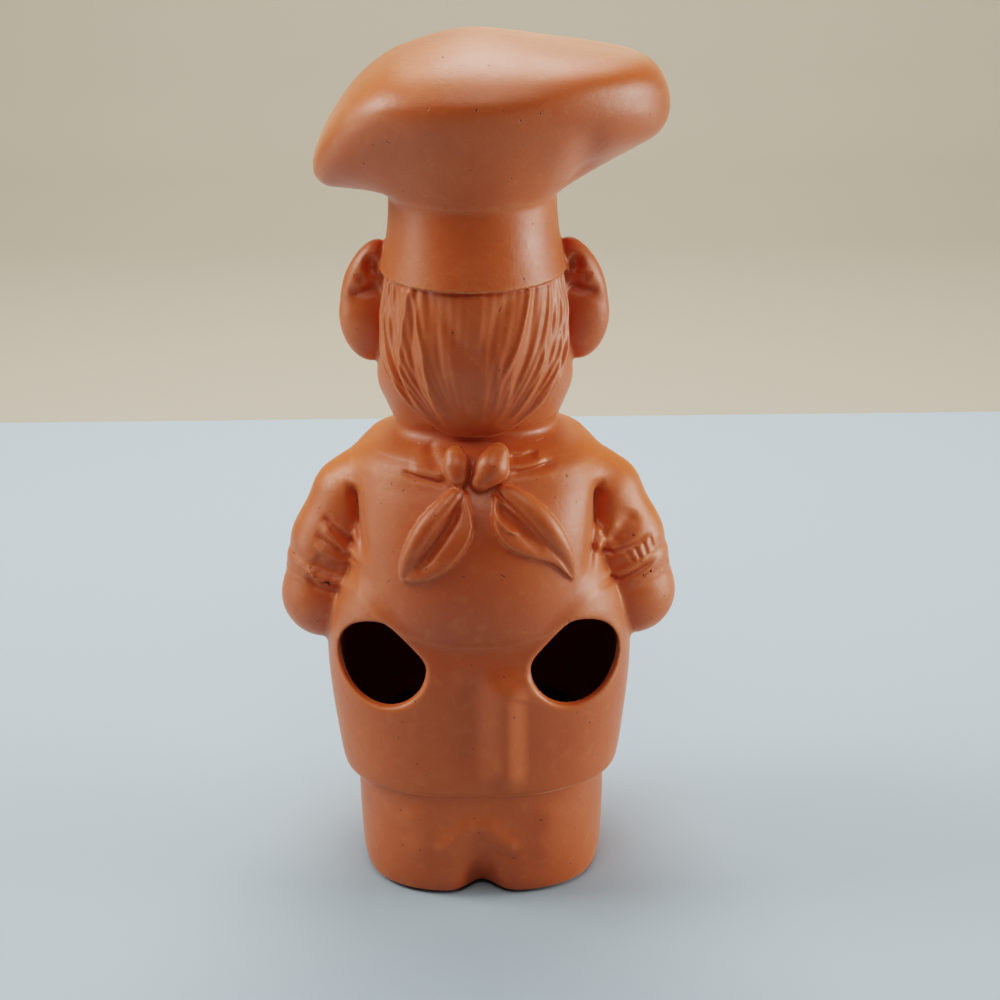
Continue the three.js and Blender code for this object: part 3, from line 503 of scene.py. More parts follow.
# Strands of the hair. Each has a height over the hair, or a depth below zero, a width, the heights of its
# ends, and the degrees from the middle of the back at each level. The figure's left is positive.
STRAND_LEVELS = [184, 176, 168, 160, 152, 145]
STRANDS = [
    (0.7, 1.0, 187, 143, 60, 61, 59, 50, 42, 30), (-0.7, 1.1, 186, 148, 51, 52, 52, 47, 38, 30),
    (0.7, 1.0, 186, 142, 37, 40, 42, 42, 36, 27), (-0.8, 1.2, 183, 150, 33, 34, 35, 34, 30, 26),
    (0.75, 0.9, 185, 142, 35, 32, 28, 26, 24, 19), (-0.5, 1.8, 186, 143, 26, 22, 19, 18, 16, 12),
    (0.5, 1.0, 186, 150, 72, 70, 65, 57, 46, 37), (-0.5, 0.9, 186, 158, 66, 65, 61, 53, 46, 39),
    (0.75, 0.9, 184, 156, -32, -28, -23, -16, -9, -4), (-0.75, 1.3, 186, 150, -37, -34, -30, -25, -20, -16),
    (0.65, 1.0, 186, 143, -48, -45, -41, -37, -30, -22),
    (-0.6, 1.0, 186, 148, -54, -51, -48, -43, -35, -28), (0.7, 0.9, 186, 142, -62, -60, -56, -50, -41, -30),
    (-0.5, 0.8, 186, 155, -67, -64, -60, -54, -47, -41),
    (0.65, 0.9, 185, 143, -76, -71, -65, -56, -45, -33), (-0.55, 2.6, 182, 160, 22, 14, 6, -1, -8, -14),
    (-0.55, 2.6, 182, 160, -21, -13, -6, 1, 8, 14), (0.35, 3, 186, 168, -2, -1, 0, 1, 3, 4),
    (0.22, 1.0, 162, 143, 14, 13, 11, 9, 7, 4), (0.25, 1.0, 170, 144, -6, -6, -6, -6, -5, -4),
    (0.25, 1.0, 167, 143, -13, -13, -13, -13, -13, -9), (-0.2, 1.2, 160, 146, 5, 4, 3, 2, 1, 1),
    (0.3, 1.0, 160, 142, -29, -26, -23, -21, -19, -13), (0.3, 1.0, 158, 146, 26, 24, 20, 18, 14, 12),
]
strand_curve = Curve(STRAND_LEVELS[::-1], *[strand[4:][::-1] for strand in STRANDS])


def hair_outline(x, y, z, top):
    turn = np.degrees(np.arctan2(x, y))
    (edge,), _ = hair_edge(z)
    beside = (np.abs(turn) - edge) * EDGE_DEGREE
    return trim(trim(beside, HAIR_FOOT - z, 3), z - top, 1)


def combed(x, y, z):
    """The strands of the hair, in millimetres over its smooth surface."""
    turn = np.degrees(np.arctan2(x, y))
    degrees, slopes = strand_curve(z)
    mm = math.radians(1) * HEAD["side"]
    total = 0
    for (height, width, top, low, *_), middle, slope in zip(STRANDS, degrees, slopes):
        gap = (turn - middle) * mm / np.sqrt(1 + (slope * mm) ** 2)
        ends = fade(z, top + 4, top - 2) * fade(z, low, low + 9)
        total = total + height * ends * np.exp(-(gap / width) ** 2)
    (edge,), _ = hair_edge(z)
    share = turn / edge
    fine = np.cos(math.pi * 15 * share + 1.3 * np.sin(z / 9)) ** 2
    return total - (0.08 + 0.17 * fade(np.abs(share), 0.3, 0.7)) * fine * fade(z, 147, 158)


def hair(x, y, z):
    turn = np.abs(np.degrees(np.arctan2(x, y)))
    under_band = fade(z, BAND["foot"] - 2, BAND["foot"] + 2)
    stand = HAIR_STAND * (1 - 0.7 * fade(z, 172, 184) * fade(turn, 35, 70)) * (1 - 0.6 * under_band)
    layer = trim(head_body(x, y, z) - stand, hair_outline(x, y, z, HEAD_TOP), 1.6)
    return layer - combed(x, y, z) * (1 - under_band)


def hair_claim(x, y, z):
    return np.maximum(hair_outline(x, y, z, BAND["foot"]), -head_body(x, y, z) - KEY)


def ear(x, y, z):
    upper = egg(x, y, z, (30.9, 0.8, 183.2), (4.6, 5.2, 10.4), -30)
    lower = egg(x, y, z, (30, 0.2, 169.6), (8.4, 6.2, 12.6), 6)
    bowl = egg(x, y, z, (32.6, -6.6, 175), (4.2, 3.6, 10))
    pit = egg(x, y, z, (28.5, 6.5, 186), (2.2, 3, 3))
    root = egg(x, y, z, (25.5, 0, 178), (5, 5, 11))
    field = join(join(upper, lower, 1.6), root, 2)
    field = field + ridge(x, z, [(26, 179.6), (30, 178.6), (35.5, 178)], 0.9, 1.3) * fade(y, 0, 3)
    return trim(trim(field, -bowl, 1.5), -pit, 1.5)


WRINKLES = [
    ([(21, 131.2), (17, 130.3), (11.9, 129.7), (7, 128.7)], -0.9, 0.8),
    ([(19, 133), (13, 132), (8, 131.4)], 0.6, 1.6), ([(13.5, 138), (12, 135), (10, 132.6)], -0.5, 1.8),
    ([(-8.6, 134.9), (-13, 134.7), (-18, 135.2)], -0.7, 0.8),
    ([(-9.5, 133), (-15, 133.3), (-20, 134)], 0.45, 1.2),
    ([(-9, 131.2), (-15.2, 131.7), (-23, 132.6)], -0.9, 0.9),
]


def wrinkles(x, y, z):
    """Folds of the kerchief beside its knot."""
    return ridges(x, z, WRINKLES) * fade(y, 5, 15)


def collar_stand(x, y):
    """The collar's edge shows beside the knot and in front, and lies flush on the shoulders."""
    return 0.9 - 0.9 * fade(np.abs(x), 10, 26) * fade(y, -12, 2)


def collar_ring(x, y):
    """How far a point lies outside the collar's edge, seen from above."""
    front = -torso_body.surface(0, COLLAR_FOOT, -1)
    return (torso_body.ring(x, y, COLLAR_FOOT) - 1) * front


def collar(x, y, z):
    layer = torso_body(x, y, z) - collar_stand(x, y)
    return trim(trim(layer, collar_ring(x, y), 2), z - TORSO_TOP, 4)


def collar_claim(x, y, z):
    return np.maximum(np.maximum(collar_ring(x, y), z - COLLAR_TOP), -torso_body(x, y, z) - KEY)


def bib_outline(x, y, z):
    down = np.clip((COLLAR_FOOT - z) / BIB["length"], 0, 1)
    edge = (np.abs(x) - BIB["half"] * (1 - down) ** 0.85) * 0.75
    return trim(edge, y, 1)


def bib(x, y, z):
    field = trim(torso_body(x, y, z) - BIB["stand"], bib_outline(x, y, z), 1.5)
    return trim(field, z - BIB["top"], 1)


def bib_claim(x, y, z):
    outline = np.maximum(bib_outline(x, y, z), -collar_ring(x, y))
    return np.maximum(outline, -torso_body(x, y, z) - KEY)


KNOT_LEFT = ([(5.7, 25.2, 136.6), (5.3, 27.2, 133.8), (4.9, 29, 131.2)], [2.5, 2.9, 2.5])
KNOT_RIGHT = ([(-6.2, 25.4, 136.8), (-4.6, 27.8, 133.8), (-1.2, 29.6, 130.2)], [3.2, 3.6, 2.6])


def knot(x, y, z):
    """Two lobes, the right one wrapped over the middle, with a dark gap between them."""
    return join(limb(x, y, z, *KNOT_LEFT, 4), limb(x, y, z, *KNOT_RIGHT, 4), 0.5)


class Tail:
    """One tail of the kerchief: a thick rolled edge over a thin leaf of cloth, with a groove between."""

    def __init__(self, roll, roll_radii, line, halves, folds):
        places = smooth_line([(*place, radius) for place, radius in zip(roll, roll_radii)])
        self.roll = [(x, torso_body.surface(x, z, 1) + ROLL_STAND * radius, z) for x, z, radius in places]
        self.roll_radii = [radius for *_, radius in places]
        places = smooth_line([(*place, half) for place, half in zip(line, halves)])
        self.line = [(x, z) for x, z, _ in places]
        self.halves = [half for *_, half in places]
        self.folds = folds

    def outline(self, x, y, z):
        gap, share = trace(x, z, self.line)
        half = np.interp(share, np.linspace(0, 1, len(self.halves)), self.halves)
        return trim(gap - half, -y, 1)

    def rolled(self, x, y, z):
        return limb(x, y, z, self.roll, self.roll_radii, 1.5)

    def field(self, x, y, z):
        cloth = torso_body(x, y, z) - TAIL_STAND - ridges(x, z, self.folds)
        return join(self.rolled(x, y, z), trim(cloth, self.outline(x, y, z), 2), 0.8)

    def claim(self, x, y, z):
        spread = np.minimum(self.rolled(x, y, z), self.outline(x, y, z))
        return np.maximum(spread, -torso_body(x, y, z) - KEY)


left_tail = Tail(
    roll=[(4.8, 127.6), (9.8, 123), (14, 118.3), (17.3, 112.8), (19.4, 108), (20.5, 104)],
    roll_radii=[1.6, 2.4, 2.7, 2.4, 1.7, 0.8],
    line=[(3.1, 127), (4.3, 120.5), (7.6, 115.5), (12, 110.3), (17.1, 106.1), (20.3, 103.8)],
    halves=[0.6, 3.8, 4.8, 4.2, 2.8, 0.4],
    folds=[([(3.4, 126.5), (6.3, 120.9), (10, 115.6), (13.6, 110.8), (17.1, 107)], -1.7, 1.4)])
right_tail = Tail(
    roll=[(-7.8, 127.8), (-13.2, 124.6), (-18, 120), (-21.8, 114.8), (-25, 109), (-26.9, 102)],
    roll_radii=[1.6, 2.7, 3.1, 2.8, 1.9, 0.8],
    line=[(-5.6, 126.4), (-8, 121.4), (-11.7, 117), (-17, 113), (-22.2, 109.2), (-26.5, 102.5)],
    halves=[0.6, 3.8, 4.3, 3.2, 1.9, 0.4],
    folds=[
        ([(-5, 126), (-7.8, 122.9), (-10.9, 120.2), (-14.5, 116.6), (-19, 112)], -1.7, 1.4),
        ([(-4.6, 125.8), (-6.2, 121.6), (-9, 118.8), (-12.6, 117.2)], 0.9, 0.6)])


def on_face(x, z):
    return (x, head_body.surface(x, z, -1), z)


def nose(x, y, z):
    return egg(x, y, z, on_face(0, 165), (4.4, 5.7, 5.1))


def eye(x, y, z):
    return egg(x, y, z, on_face(9.2, 172), (3.1, 1.7, 2.3))


def brow(x, y, z):
    points = [on_face(5.2, 178.4), on_face(9.4, 179.2), on_face(13.6, 177.6)]
    return limb(x, y, z, points, [0.8, 1.3, 0.8], 0.6)


MOUSTACHE = [(-10.5, 157.6), (-5.2, 156.4), (0, 157), (5.2, 156.4), (10.5, 157.6)]


def moustache(x, y, z):
    points = [on_face(*place) for place in MOUSTACHE]
    return limb(x, y, z, points, [1.6, 2.6, 2.6, 2.6, 1.6], 1)


BUTTON = dict(across=11.5, radii=(2.9, 1.8, 2.9), heights=(106, 73, 60, 47))


def button(height):
    across = BUTTON["across"]
    base = torso_body if height > SKIRT["foot"] + SKIRT["height"] else skirt_body
    middle = (across, base.surface(across, height, -1), height)
    return lambda x, y, z: egg(x, y, z, middle, BUTTON["radii"])


# How far a form counts beyond its box where its fillet varies
WIDEST_FILLET = 8


class Form:
    """One named form: its field, the box that holds it, the fillet to its neighbours, and what it sits on."""

    def __init__(self, name, field, box, fillet, voxel, sits_on=(), hollow=False, claim=None):
        self.name, self.field, self.fillet, self.voxel = name, field, fillet, voxel
        self.box = np.array(box, float)
        self.sits_on, self.hollow, self.claim = sits_on, hollow, claim
        reach = WIDEST_FILLET if callable(fillet) else fillet + 2
        self.near = None if hollow else self.box + np.array([[-reach], [reach]])


FORMS = []


def add(*values, **named):
    FORMS.append(Form(*values, **named))


def mirrored(field):
    """The same field on the figure's other side, if there is one."""
    return field and (lambda x, y, z: field(-x, y, z))


def add_pair(name, field, box, fillet, voxel, sits_on=(), claim=None):
    """A form of the left side and its mirror image, named left and right instead of side."""
    (x0, y0, z0), (x1, y1, z1) = box
    other = ((-x1, y0, z0), (-x0, y1, z1))
    add(name.replace("side", "left"), field, box, fillet, voxel, sits_on, claim=claim)
    name = name.replace("side", "right")
    add(name, mirrored(field), other, fillet, voxel, sits_on, claim=mirrored(claim))


ARM_BASES = ("torso_shell", "skirt_shell")
FACE_BASE = ("head_shell",)

# Every piece: its field, its box, the fillet to its neighbours and the step of its grid
add("trousers_shell", trousers, ((-39, -38, -1), (39, 37, 40)), 1, 0.8, hollow=True)
add("skirt_shell", skirt, ((-47, -44, 33), (47, 40, 94)), 0.7, 0.8, hollow=True)
add("torso_shell", torso, ((-41, -47, 80), (41, 42, 141)), torso_fillet, 0.8, hollow=True)
add("head_shell", head, ((-29, -30, 125), (29, 30, 189)), 4, 0.7, hollow=True)
add("hat_band", band, ((-28, -31, 183), (28, 33, 211)), 0.8, 0.8, hollow=True)
add("hat_crown", crown, ((-57, -44, 204), (47, 44, 252)), 2, 0.9, hollow=True)
add_pair("side_sleeve", sleeve, ((20, -12, 92), (57, 18, 130)), sleeve_fillet, 0.6, ARM_BASES, sleeve_claim)
add_pair("side_cuff", cuff, ((26, -12, 84), (60, 20, 102)), 1.2, 0.5, ARM_BASES, cuff_claim)
add_pair("side_forearm", forearm, ((2, -54, 70), (60, 18, 104)), 2, 0.6, ARM_BASES, forearm_claim)
add_pair("side_shoe", shoe, ((1, -51, -1), (34, -25, 14)), 1, 0.6, ("trousers_shell",))
add("hair_back", hair, ((-31, -2, 138), (31, 32, 189)), 1, 0.5, claim=hair_claim)
add_pair("side_ear", ear, ((20, -8, 155), (39, 8, 194)), 1.5, 0.5, ("head_shell", "hat_band"))
add("kerchief_collar", collar, ((-40, -34, 127), (40, 36, 144)), 3, 0.6, claim=collar_claim)
add("kerchief_bib", bib, ((-27, -48, 102), (27, 1, 136)), 1, 0.5, claim=bib_claim)
add("kerchief_knot", knot, ((-12, 18, 126), (12, 36, 142)), 0.8, 0.4, ("torso_shell",))
add("kerchief_tail_left", left_tail.field, ((-5, 20, 100), (26, 44, 132)), 1, 0.45, claim=left_tail.claim)
add("kerchief_tail_right", right_tail.field, ((-32, 20, 98), (0, 44, 132)), 1, 0.45, claim=right_tail.claim)
add("nose", nose, ((-6, -35, 158), (6, -22, 171)), 1.5, 0.4, FACE_BASE)
add("moustache", moustache, ((-13, -32, 153), (13, -20, 161)), 1, 0.4, FACE_BASE)
add_pair("side_eye", eye, ((5, -31, 168), (13, -20, 175)), 0.5, 0.35, FACE_BASE)
add_pair("side_brow", brow, ((3, -31, 175), (16, -19, 182)), 0.6, 0.35, FACE_BASE)
for row, height in enumerate(BUTTON["heights"], 1):
    box = ((8, -50, height - 4), (15, -36, height + 4))
    add_pair(f"button_side_{row}", button(height), box, 0.4, 0.4, ARM_BASES)


def slab(x, y, z):
    return np.maximum(trim(legs(x, y, z) + SLAB_INSET, z - SLAB_TOP, 0.5), -z)


add("base_slab", slab, ((-37, -36, -1), (37, 36, 6)), 0.4, 0.8)

# Forms whose boxes come this close are worked out together
REACH = 4
# Neighbours share a narrow strip, in which each dips under the other, so that no hairline shows between them
OVERLAP = 0.12
TUCK = 0.5
# Fillet between the rooms inside neighbouring shells
ROOM_FILLET = 4
# Shallow forms that run on over several pieces: their relief, its box, and the pieces
DETAILS = [
    (left_folds, ((24, 2, 86), (58, 40, 130)), ("left_sleeve", "left_cuff", "left_forearm", "torso_shell")),
    (right_folds, ((-58, 2, 86), (-24, 40, 130)),
     ("right_sleeve", "right_cuff", "right_forearm", "torso_shell")),
    (wrinkles, ((-28, 5, 124), (28, 40, 142)), ("kerchief_collar", "torso_shell")),
]


def near(box):
    """The forms that come near a box."""
    low, high = box[0] - REACH, box[1] + REACH
    return [form for form in FORMS if np.all(form.box[0] < high) and np.all(form.box[1] > low)]


def opening(x, y, z):
    """The two openings in the back, below zero inside them."""
    across = np.abs(x) - OPENING["apart"] / 2
    up = z - OPENING["z"]
    turn = math.radians(OPENING["turn"])
    flat = up * math.sin(turn) - across * math.cos(turn) - OPENING["flat"]
    bore = trim(np.hypot(across, up) - OPENING["radius"], flat, 2)
    return np.maximum(bore, OPENING["start"] - y)


def inside_box(field, box, x, y, z, elsewhere=FAR):
    """A field worked out inside a box, with one value everywhere else."""
    if box is None:
        return field(x, y, z)
    low, high = box
    here = (x > low[0]) & (x < high[0]) & (y > low[1]) & (y < high[1]) & (z > low[2]) & (z < high[2])
    values = np.full(x.shape, float(elsewhere))
    if here.any():
        values[here] = field(x[here], y[here], z[here])
    return values


def own_clay(form, fields, x, y, z):
    """The clay that a form lays claim to, below zero inside it."""
    own = inside_box(form.claim, form.near, x, y, z) if form.claim else fields[form.name]
    if form.hollow:
        own = np.maximum(own, -own - WALL)
    for base in form.sits_on:
        if base in fields:
            own = np.maximum(own, -fields[base])
    return own


def form_fields(forms, x, y, z):
    """Every form's own field, with the shallow details on it."""
    fields = {form.name: inside_box(form.field, form.near, x, y, z) for form in forms}
    for detail, box, names in DETAILS:
        names = [name for name in names if name in fields]
        if names:
            stand = inside_box(detail, box, x, y, z, 0)
        for name in names:
            fields[name] = fields[name] - stand
    return fields


def all_clay(forms, fields, x, y, z):
    """The clay of all forms together, hollowed, with its openings and its flat foot."""
    outside, room = np.full(x.shape, FAR), np.full(x.shape, FAR)
    for form in forms:
        # The slab is the floor that the hollowing leaves, so it adds nothing here
        if form.name == "base_slab":
            continue
        field = fields[form.name]
        width = form.fillet(x, y, z) if callable(form.fillet) else form.fillet
        outside = join(outside, field, width)
        if form.hollow:
            room = join(room, field, ROOM_FILLET)
    outside = trim(outside, -trim(room + WALL, SLAB_TOP - z, 1), 0.8)
    outside = trim(outside, -opening(x, y, z), OPENING["lip"])
    return np.maximum(outside, -z)


def clay(x, y, z, forms, piece, tuck=TUCK):
    """The field of all the clay, and how far a point is from being the piece's own."""
    fields = form_fields(forms, x, y, z)
    rival = np.full(x.shape, FAR)
    for form in forms:
        own = own_clay(form, fields, x, y, z)
        if form.name == piece:
            mine = own
        else:
            rival = np.minimum(rival, own)
    share = 0.5 * (mine - rival)
    return all_clay(forms, fields, x, y, z) + tuck * np.maximum(share, 0), share - OVERLAP


BLOCK = 4
COARSER = 1
THREADS = 4


def spread_out(values):
    """Gives every cell in a block the block's value."""
    return values.repeat(BLOCK, 0).repeat(BLOCK, 1).repeat(BLOCK, 2)


def corners_of(cells):
    """The grid's nodes at the corners of the marked cells."""
    nodes = np.zeros(np.array(cells.shape) + 1, bool)
    for i, j, k in product((0, 1), repeat=3):
        nodes[i:i + cells.shape[0], j:j + cells.shape[1], k:k + cells.shape[2]] |= cells
    return nodes


def sample(form, forms, step):
    """The field and the piece's share on a grid, worked out only near the piece's surface."""
    low = form.box[0] - 2 * step
    blocks = np.ceil((form.box[1] + 2 * step - low) / (step * BLOCK)).astype(int)
    middles = [low[a] + (np.arange(blocks[a]) + 0.5) * step * BLOCK for a in range(3)]
    grid = np.meshgrid(*middles, indexing="ij")
    field, share = clay(*(g.ravel() for g in grid), forms, form.name)
    coarse = np.maximum(field, share).reshape(blocks)
    close = np.abs(coarse) < step * BLOCK * 1.5 + 0.6
    signs = np.pad(spread_out(np.sign(coarse).astype(np.float32)), (0, 1), mode="edge") * np.float32(FAR)
    fields, shares = signs.copy(), signs.copy()
    where = np.nonzero(corners_of(spread_out(close)))
    points = [low[a] + where[a] * step for a in range(3)]
    values = clay(*points, forms, form.name)
    fields[where], shares[where] = values
    return low, step, fields, shares


def crossed_edges(axis, solid, fields, shares):
    """The crossed edges along an axis: quad, cells round it, place, and whether it lies on the outside."""
    size = np.array(solid.shape)
    start, end = [slice(None)] * 3, [slice(None)] * 3
    start[axis], end[axis] = slice(0, -1), slice(1, None)
    inside = solid < 0
    spots = np.stack(np.nonzero(inside[tuple(start)] != inside[tuple(end)]), 1)
    others = [other for other in range(3) if other != axis]
    spots = spots[np.all((spots[:, others] > 0) & (spots[:, others] < size[others] - 1), 1)]
    strides = np.array([size[1] * size[2], size[2], 1])
    index = spots @ strides
    past = index + strides[axis]
    a, b = solid.ravel()[index].astype(float), solid.ravel()[past].astype(float)
    t = a / (a - b)
    place = spots.astype(float)
    place[:, axis] += t
    field, share = (flat[index] * (1 - t) + flat[past] * t for flat in (fields.ravel(), shares.ravel()))
    p, q = strides[(axis + 1) % 3], strides[(axis + 2) % 3]
    ring = np.stack([index - p - q, index - q, index, index - p], 1)
    quad = np.where((a < 0)[:, None], ring, ring[:, ::-1])
    return quad, ring, place, field >= share


def surface_net(low, step, fields, shares):
    """One point in every cell that the surface crosses, and one quad for every crossed edge."""
    solid = np.maximum(fields, shares)
    crossings = [crossed_edges(axis, solid, fields, shares) for axis in range(3)]
    quads, cells, places, kinds = (np.concatenate(values) for values in zip(*crossings))
    names, inverse = np.unique(quads, return_inverse=True)
    rings = np.searchsorted(names, cells).ravel()
    count = np.bincount(rings, minlength=len(names))
    sums = [np.bincount(rings, np.repeat(places[:, axis], 4), len(names)) for axis in range(3)]
    points = np.stack([total / count for total in sums], 1)
    outer = np.bincount(rings, np.repeat(kinds, 4), len(names))
    return low + points * step, inverse.reshape(quads.shape), kinds, outer > 0, outer < count


# The step for slopes, and how nearly parallel two surfaces may be where a point is put on both
PROBE = 0.05
SKEW = 0.05


def gradients(points, forms, piece, tuck=TUCK):
    """Values and slopes of the clay's field and the piece's share."""
    values = np.array(clay(*points.T, forms, piece, tuck))
    slopes = np.empty((2, 3, len(points)))
    for axis in range(3):
        moved = points.copy()
        moved[:, axis] += PROBE
        slopes[:, axis] = (np.array(clay(*moved.T, forms, piece, tuck)) - values) / PROBE
    return values, slopes


def settle(points, outer, cut, step, forms, piece):
    """Moves points onto the surface, and onto its edge where the piece ends."""
    start = points.copy()
    for _ in range(2):
        values, (field_slope, share_slope) = gradients(points, forms, piece)
        f, s = values
        ff = (field_slope ** 2).sum(0) + 1e-9
        ss = (share_slope ** 2).sum(0) + 1e-9
        fs = (field_slope * share_slope).sum(0)
        determinant = ff * ss - fs * fs
        both = outer & cut & (determinant > SKEW * ff * ss)
        a = np.where(both, (f * ss - s * fs) / np.where(both, determinant, 1), np.where(outer, f / ff, 0))
        b = np.where(both, (s * ff - f * fs) / np.where(both, determinant, 1), np.where(outer, 0, s / ss))
        move = -(a * field_slope + b * share_slope).T
        points = start + np.clip(points + move - start, -step, step)
    return points


def shape(form):
    """The points, quads and corner normals of one piece."""
    forms = near(form.box)
    step = form.voxel * COARSER
    points, quads, kinds, outer, cut = surface_net(*sample(form, forms, step))
    points = settle(points, outer, cut, step, forms, form.name)
    _, (slope, _) = gradients(points, forms, form.name, tuck=0)
    normals = (slope / np.maximum(np.linalg.norm(slope, axis=0), 1e-6)).T
    corners = points[quads]
    flat = np.cross(corners[:, 2] - corners[:, 0], corners[:, 3] - corners[:, 1])
    flat /= np.maximum(np.linalg.norm(flat, axis=1, keepdims=True), 1e-9)
    return points, quads, np.where(kinds[:, None, None], normals[quads], flat[:, None, :])


def build(form, points, quads, shading):
    mesh = bpy.data.meshes.new(f"clay_{form.name}")
    mesh.vertices.add(len(points))
    mesh.vertices.foreach_set("co", (points * MM).astype(np.float32).ravel())
    mesh.loops.add(quads.size)
    mesh.loops.foreach_set("vertex_index", quads.astype(np.int32).ravel())
    mesh.polygons.add(len(quads))
    mesh.polygons.foreach_set("loop_start", np.arange(0, quads.size, 4, dtype=np.int32))
    mesh.update(calc_edges=True)
    mesh.polygons.foreach_set("use_smooth", np.ones(len(quads), bool))
    mesh.normals_split_custom_set(shading.reshape(-1, 3).tolist())
    piece = bpy.data.objects.new(f"clay_{form.name}", mesh)
    bpy.context.collection.objects.link(piece)
    return piece


# Colours of the fired clay, from the shade painted into its deepest hollows to its rubbed edges
CLAY_DARK = (0.47, 0.09, 0.013)
CLAY_LIGHT = (0.59, 0.128, 0.022)
CLAY_RED = (0.53, 0.09, 0.011)
CLAY_PALE = (0.68, 0.21, 0.06)
CLAY_CREASE_SHADE = (0.42, 0.058, 0.007)
CLAY_SPECK = (0.2, 0.04, 0.01)

# The wiping marks run aslant: how their noise is turned, in radians, and stretched
WIPED_TURN = (0.3, 0.5, 0.2)
WIPED_STRETCH = (0.25, 1, 2.5)


class Shading:
    """Short ways to make the nodes of one material."""

    def __init__(self, name):
        self.material = bpy.data.materials.new(name)
        self.material.use_nodes = True
        self.nodes, self.links = self.material.node_tree.nodes, self.material.node_tree.links
        self.nodes.clear()
        self.shader = self.nodes.new("ShaderNodeBsdfPrincipled")
        self.link(self.shader.outputs[0], self.nodes.new("ShaderNodeOutputMaterial").inputs[0])
        self.where = self.nodes.new("ShaderNodeTexCoord").outputs["Object"]

    def link(self, value, socket):
        """Sets a socket to a number or a colour, or links it to another socket."""
        if isinstance(value, bpy.types.NodeSocket):
            self.links.new(value, socket)
        else:
            socket.default_value = (*value, 1) if isinstance(value, tuple) else value

    def noise(self, scale, detail, roughness=0.55, stretch=None):
        """A cloudy value between 0 and 1, its scale in waves per metre."""
        node = self.nodes.new("ShaderNodeTexNoise")
        self.link(scale, node.inputs["Scale"])
        self.link(detail, node.inputs["Detail"])
        self.link(roughness, node.inputs["Roughness"])
        vector = self.where
        if stretch:
            mapping = self.nodes.new("ShaderNodeMapping")
            mapping.inputs["Scale"].default_value = stretch
            mapping.inputs["Rotation"].default_value = WIPED_TURN
            self.link(vector, mapping.inputs["Vector"])
            vector = mapping.outputs[0]
        self.link(vector, node.inputs["Vector"])
        return node.outputs["Fac"]

    def spread(self, value, low, high, start, end):
        """Takes the values from low to high onto start to end, and holds them beyond."""
        node = self.nodes.new("ShaderNodeMapRange")
        sockets = [node.inputs[name] for name in ("Value", "From Min", "From Max", "To Min", "To Max")]
        for number, socket in zip((value, low, high, start, end), sockets):
            self.link(number, socket)
        return node.outputs[0]

    def mix(self, share, first, second):
        """Mixes two colours. Its colour sockets are inputs 6 and 7 and output 2."""
        node = self.nodes.new("ShaderNodeMix")
        node.data_type = "RGBA"
        for value, index in ((share, 0), (first, 6), (second, 7)):
            self.link(value, node.inputs[index])
        return node.outputs[2]

    def add(self, *values):
        total = values[0]
        for value in values[1:]:
            node = self.nodes.new("ShaderNodeMath")
            self.link(total, node.inputs[0])
            self.link(value, node.inputs[1])
            total = node.outputs[0]
        return total


def clay_tone(clay, pinholes):
    """Clouds of four sizes, paler on rubbed edges, with shade painted into creases as a darker colour, and
    dark pinholes and grit.
    """
    bend = clay.nodes.new("ShaderNodeNewGeometry").outputs["Pointiness"]
    tone = clay.mix(clay.spread(clay.noise(16, 3), 0.35, 0.65, 0, 1), CLAY_DARK, CLAY_LIGHT)
    tone = clay.mix(clay.spread(clay.noise(75, 4, 0.6), 0.45, 0.75, 0, 0.4), tone, CLAY_RED)
    tone = clay.mix(clay.spread(clay.noise(240, 3, 0.65), 0.52, 0.8, 0, 0.35), tone, CLAY_PALE)
    tone = clay.mix(clay.spread(clay.noise(900, 2), 0.3, 0.7, 0, 0.2), tone, CLAY_DARK)
    tone = clay.mix(clay.spread(bend, 0.51, 0.56, 0, 0.3), tone, CLAY_PALE)
    # Painted shade: where the surface bends inward, in creases, the colour darkens as if shade fell there
    tone = clay.mix(clay.spread(bend, 0.49, 0.44, 0, 0.5), tone, CLAY_CREASE_SHADE)
    tone = clay.mix(pinholes, tone, CLAY_SPECK)
    return clay.mix(clay.spread(clay.noise(700, 1, 0.4), 0.84, 0.87, 0, 0.6), tone, CLAY_SPECK)


def clay_material():
    """Unglazed fired clay: cloudy, finely pitted and faintly satin."""
    clay = Shading("clay")
    shader = clay.shader
    pinholes = clay.spread(clay.noise(800, 0), 0.17, 0.135, 0, 1)
    clay.link(clay_tone(clay, pinholes), shader.inputs["Base Color"])
    smears = clay.spread(clay.noise(55, 4), 0.3, 0.7, 0.43, 0.53)
    dust = clay.spread(clay.noise(1100, 2), 0.3, 0.7, -0.03, 0.05)
    clay.link(clay.add(smears, dust), shader.inputs["Roughness"])
    clay.link(0.9, shader.inputs["Specular IOR Level"])
    clay.link(0.35, shader.inputs["Sheen Weight"])
    clay.link(0.3, shader.inputs["Sheen Roughness"])
    clay.link((1.0, 0.9, 0.7), shader.inputs["Sheen Tint"])
    grain = clay.spread(clay.noise(1500, 3, 0.6), 0, 1, 0, 0.05)
    lumps = clay.spread(clay.noise(420, 3), 0, 1, 0, 0.07)
    wiped = clay.spread(clay.noise(260, 3, 0.6, WIPED_STRETCH), 0, 1, 0, 0.06)
    bump = clay.nodes.new("ShaderNodeBump")
    clay.link(MM, bump.inputs["Distance"])
    pits = clay.spread(pinholes, 0, 1, 0, -0.12)
    clay.link(clay.add(grain, lumps, wiped, pits), bump.inputs["Height"])
    clay.link(bump.outputs[0], shader.inputs["Normal"])
    return clay.material


def stage_material(name, colour):
    material = bpy.data.materials.new(name)
    material.use_nodes = True
    shader = material.node_tree.nodes["Principled BSDF"]
    shader.inputs["Base Color"].default_value = (*colour, 1)
    shader.inputs["Roughness"].default_value = 0.9
    return material


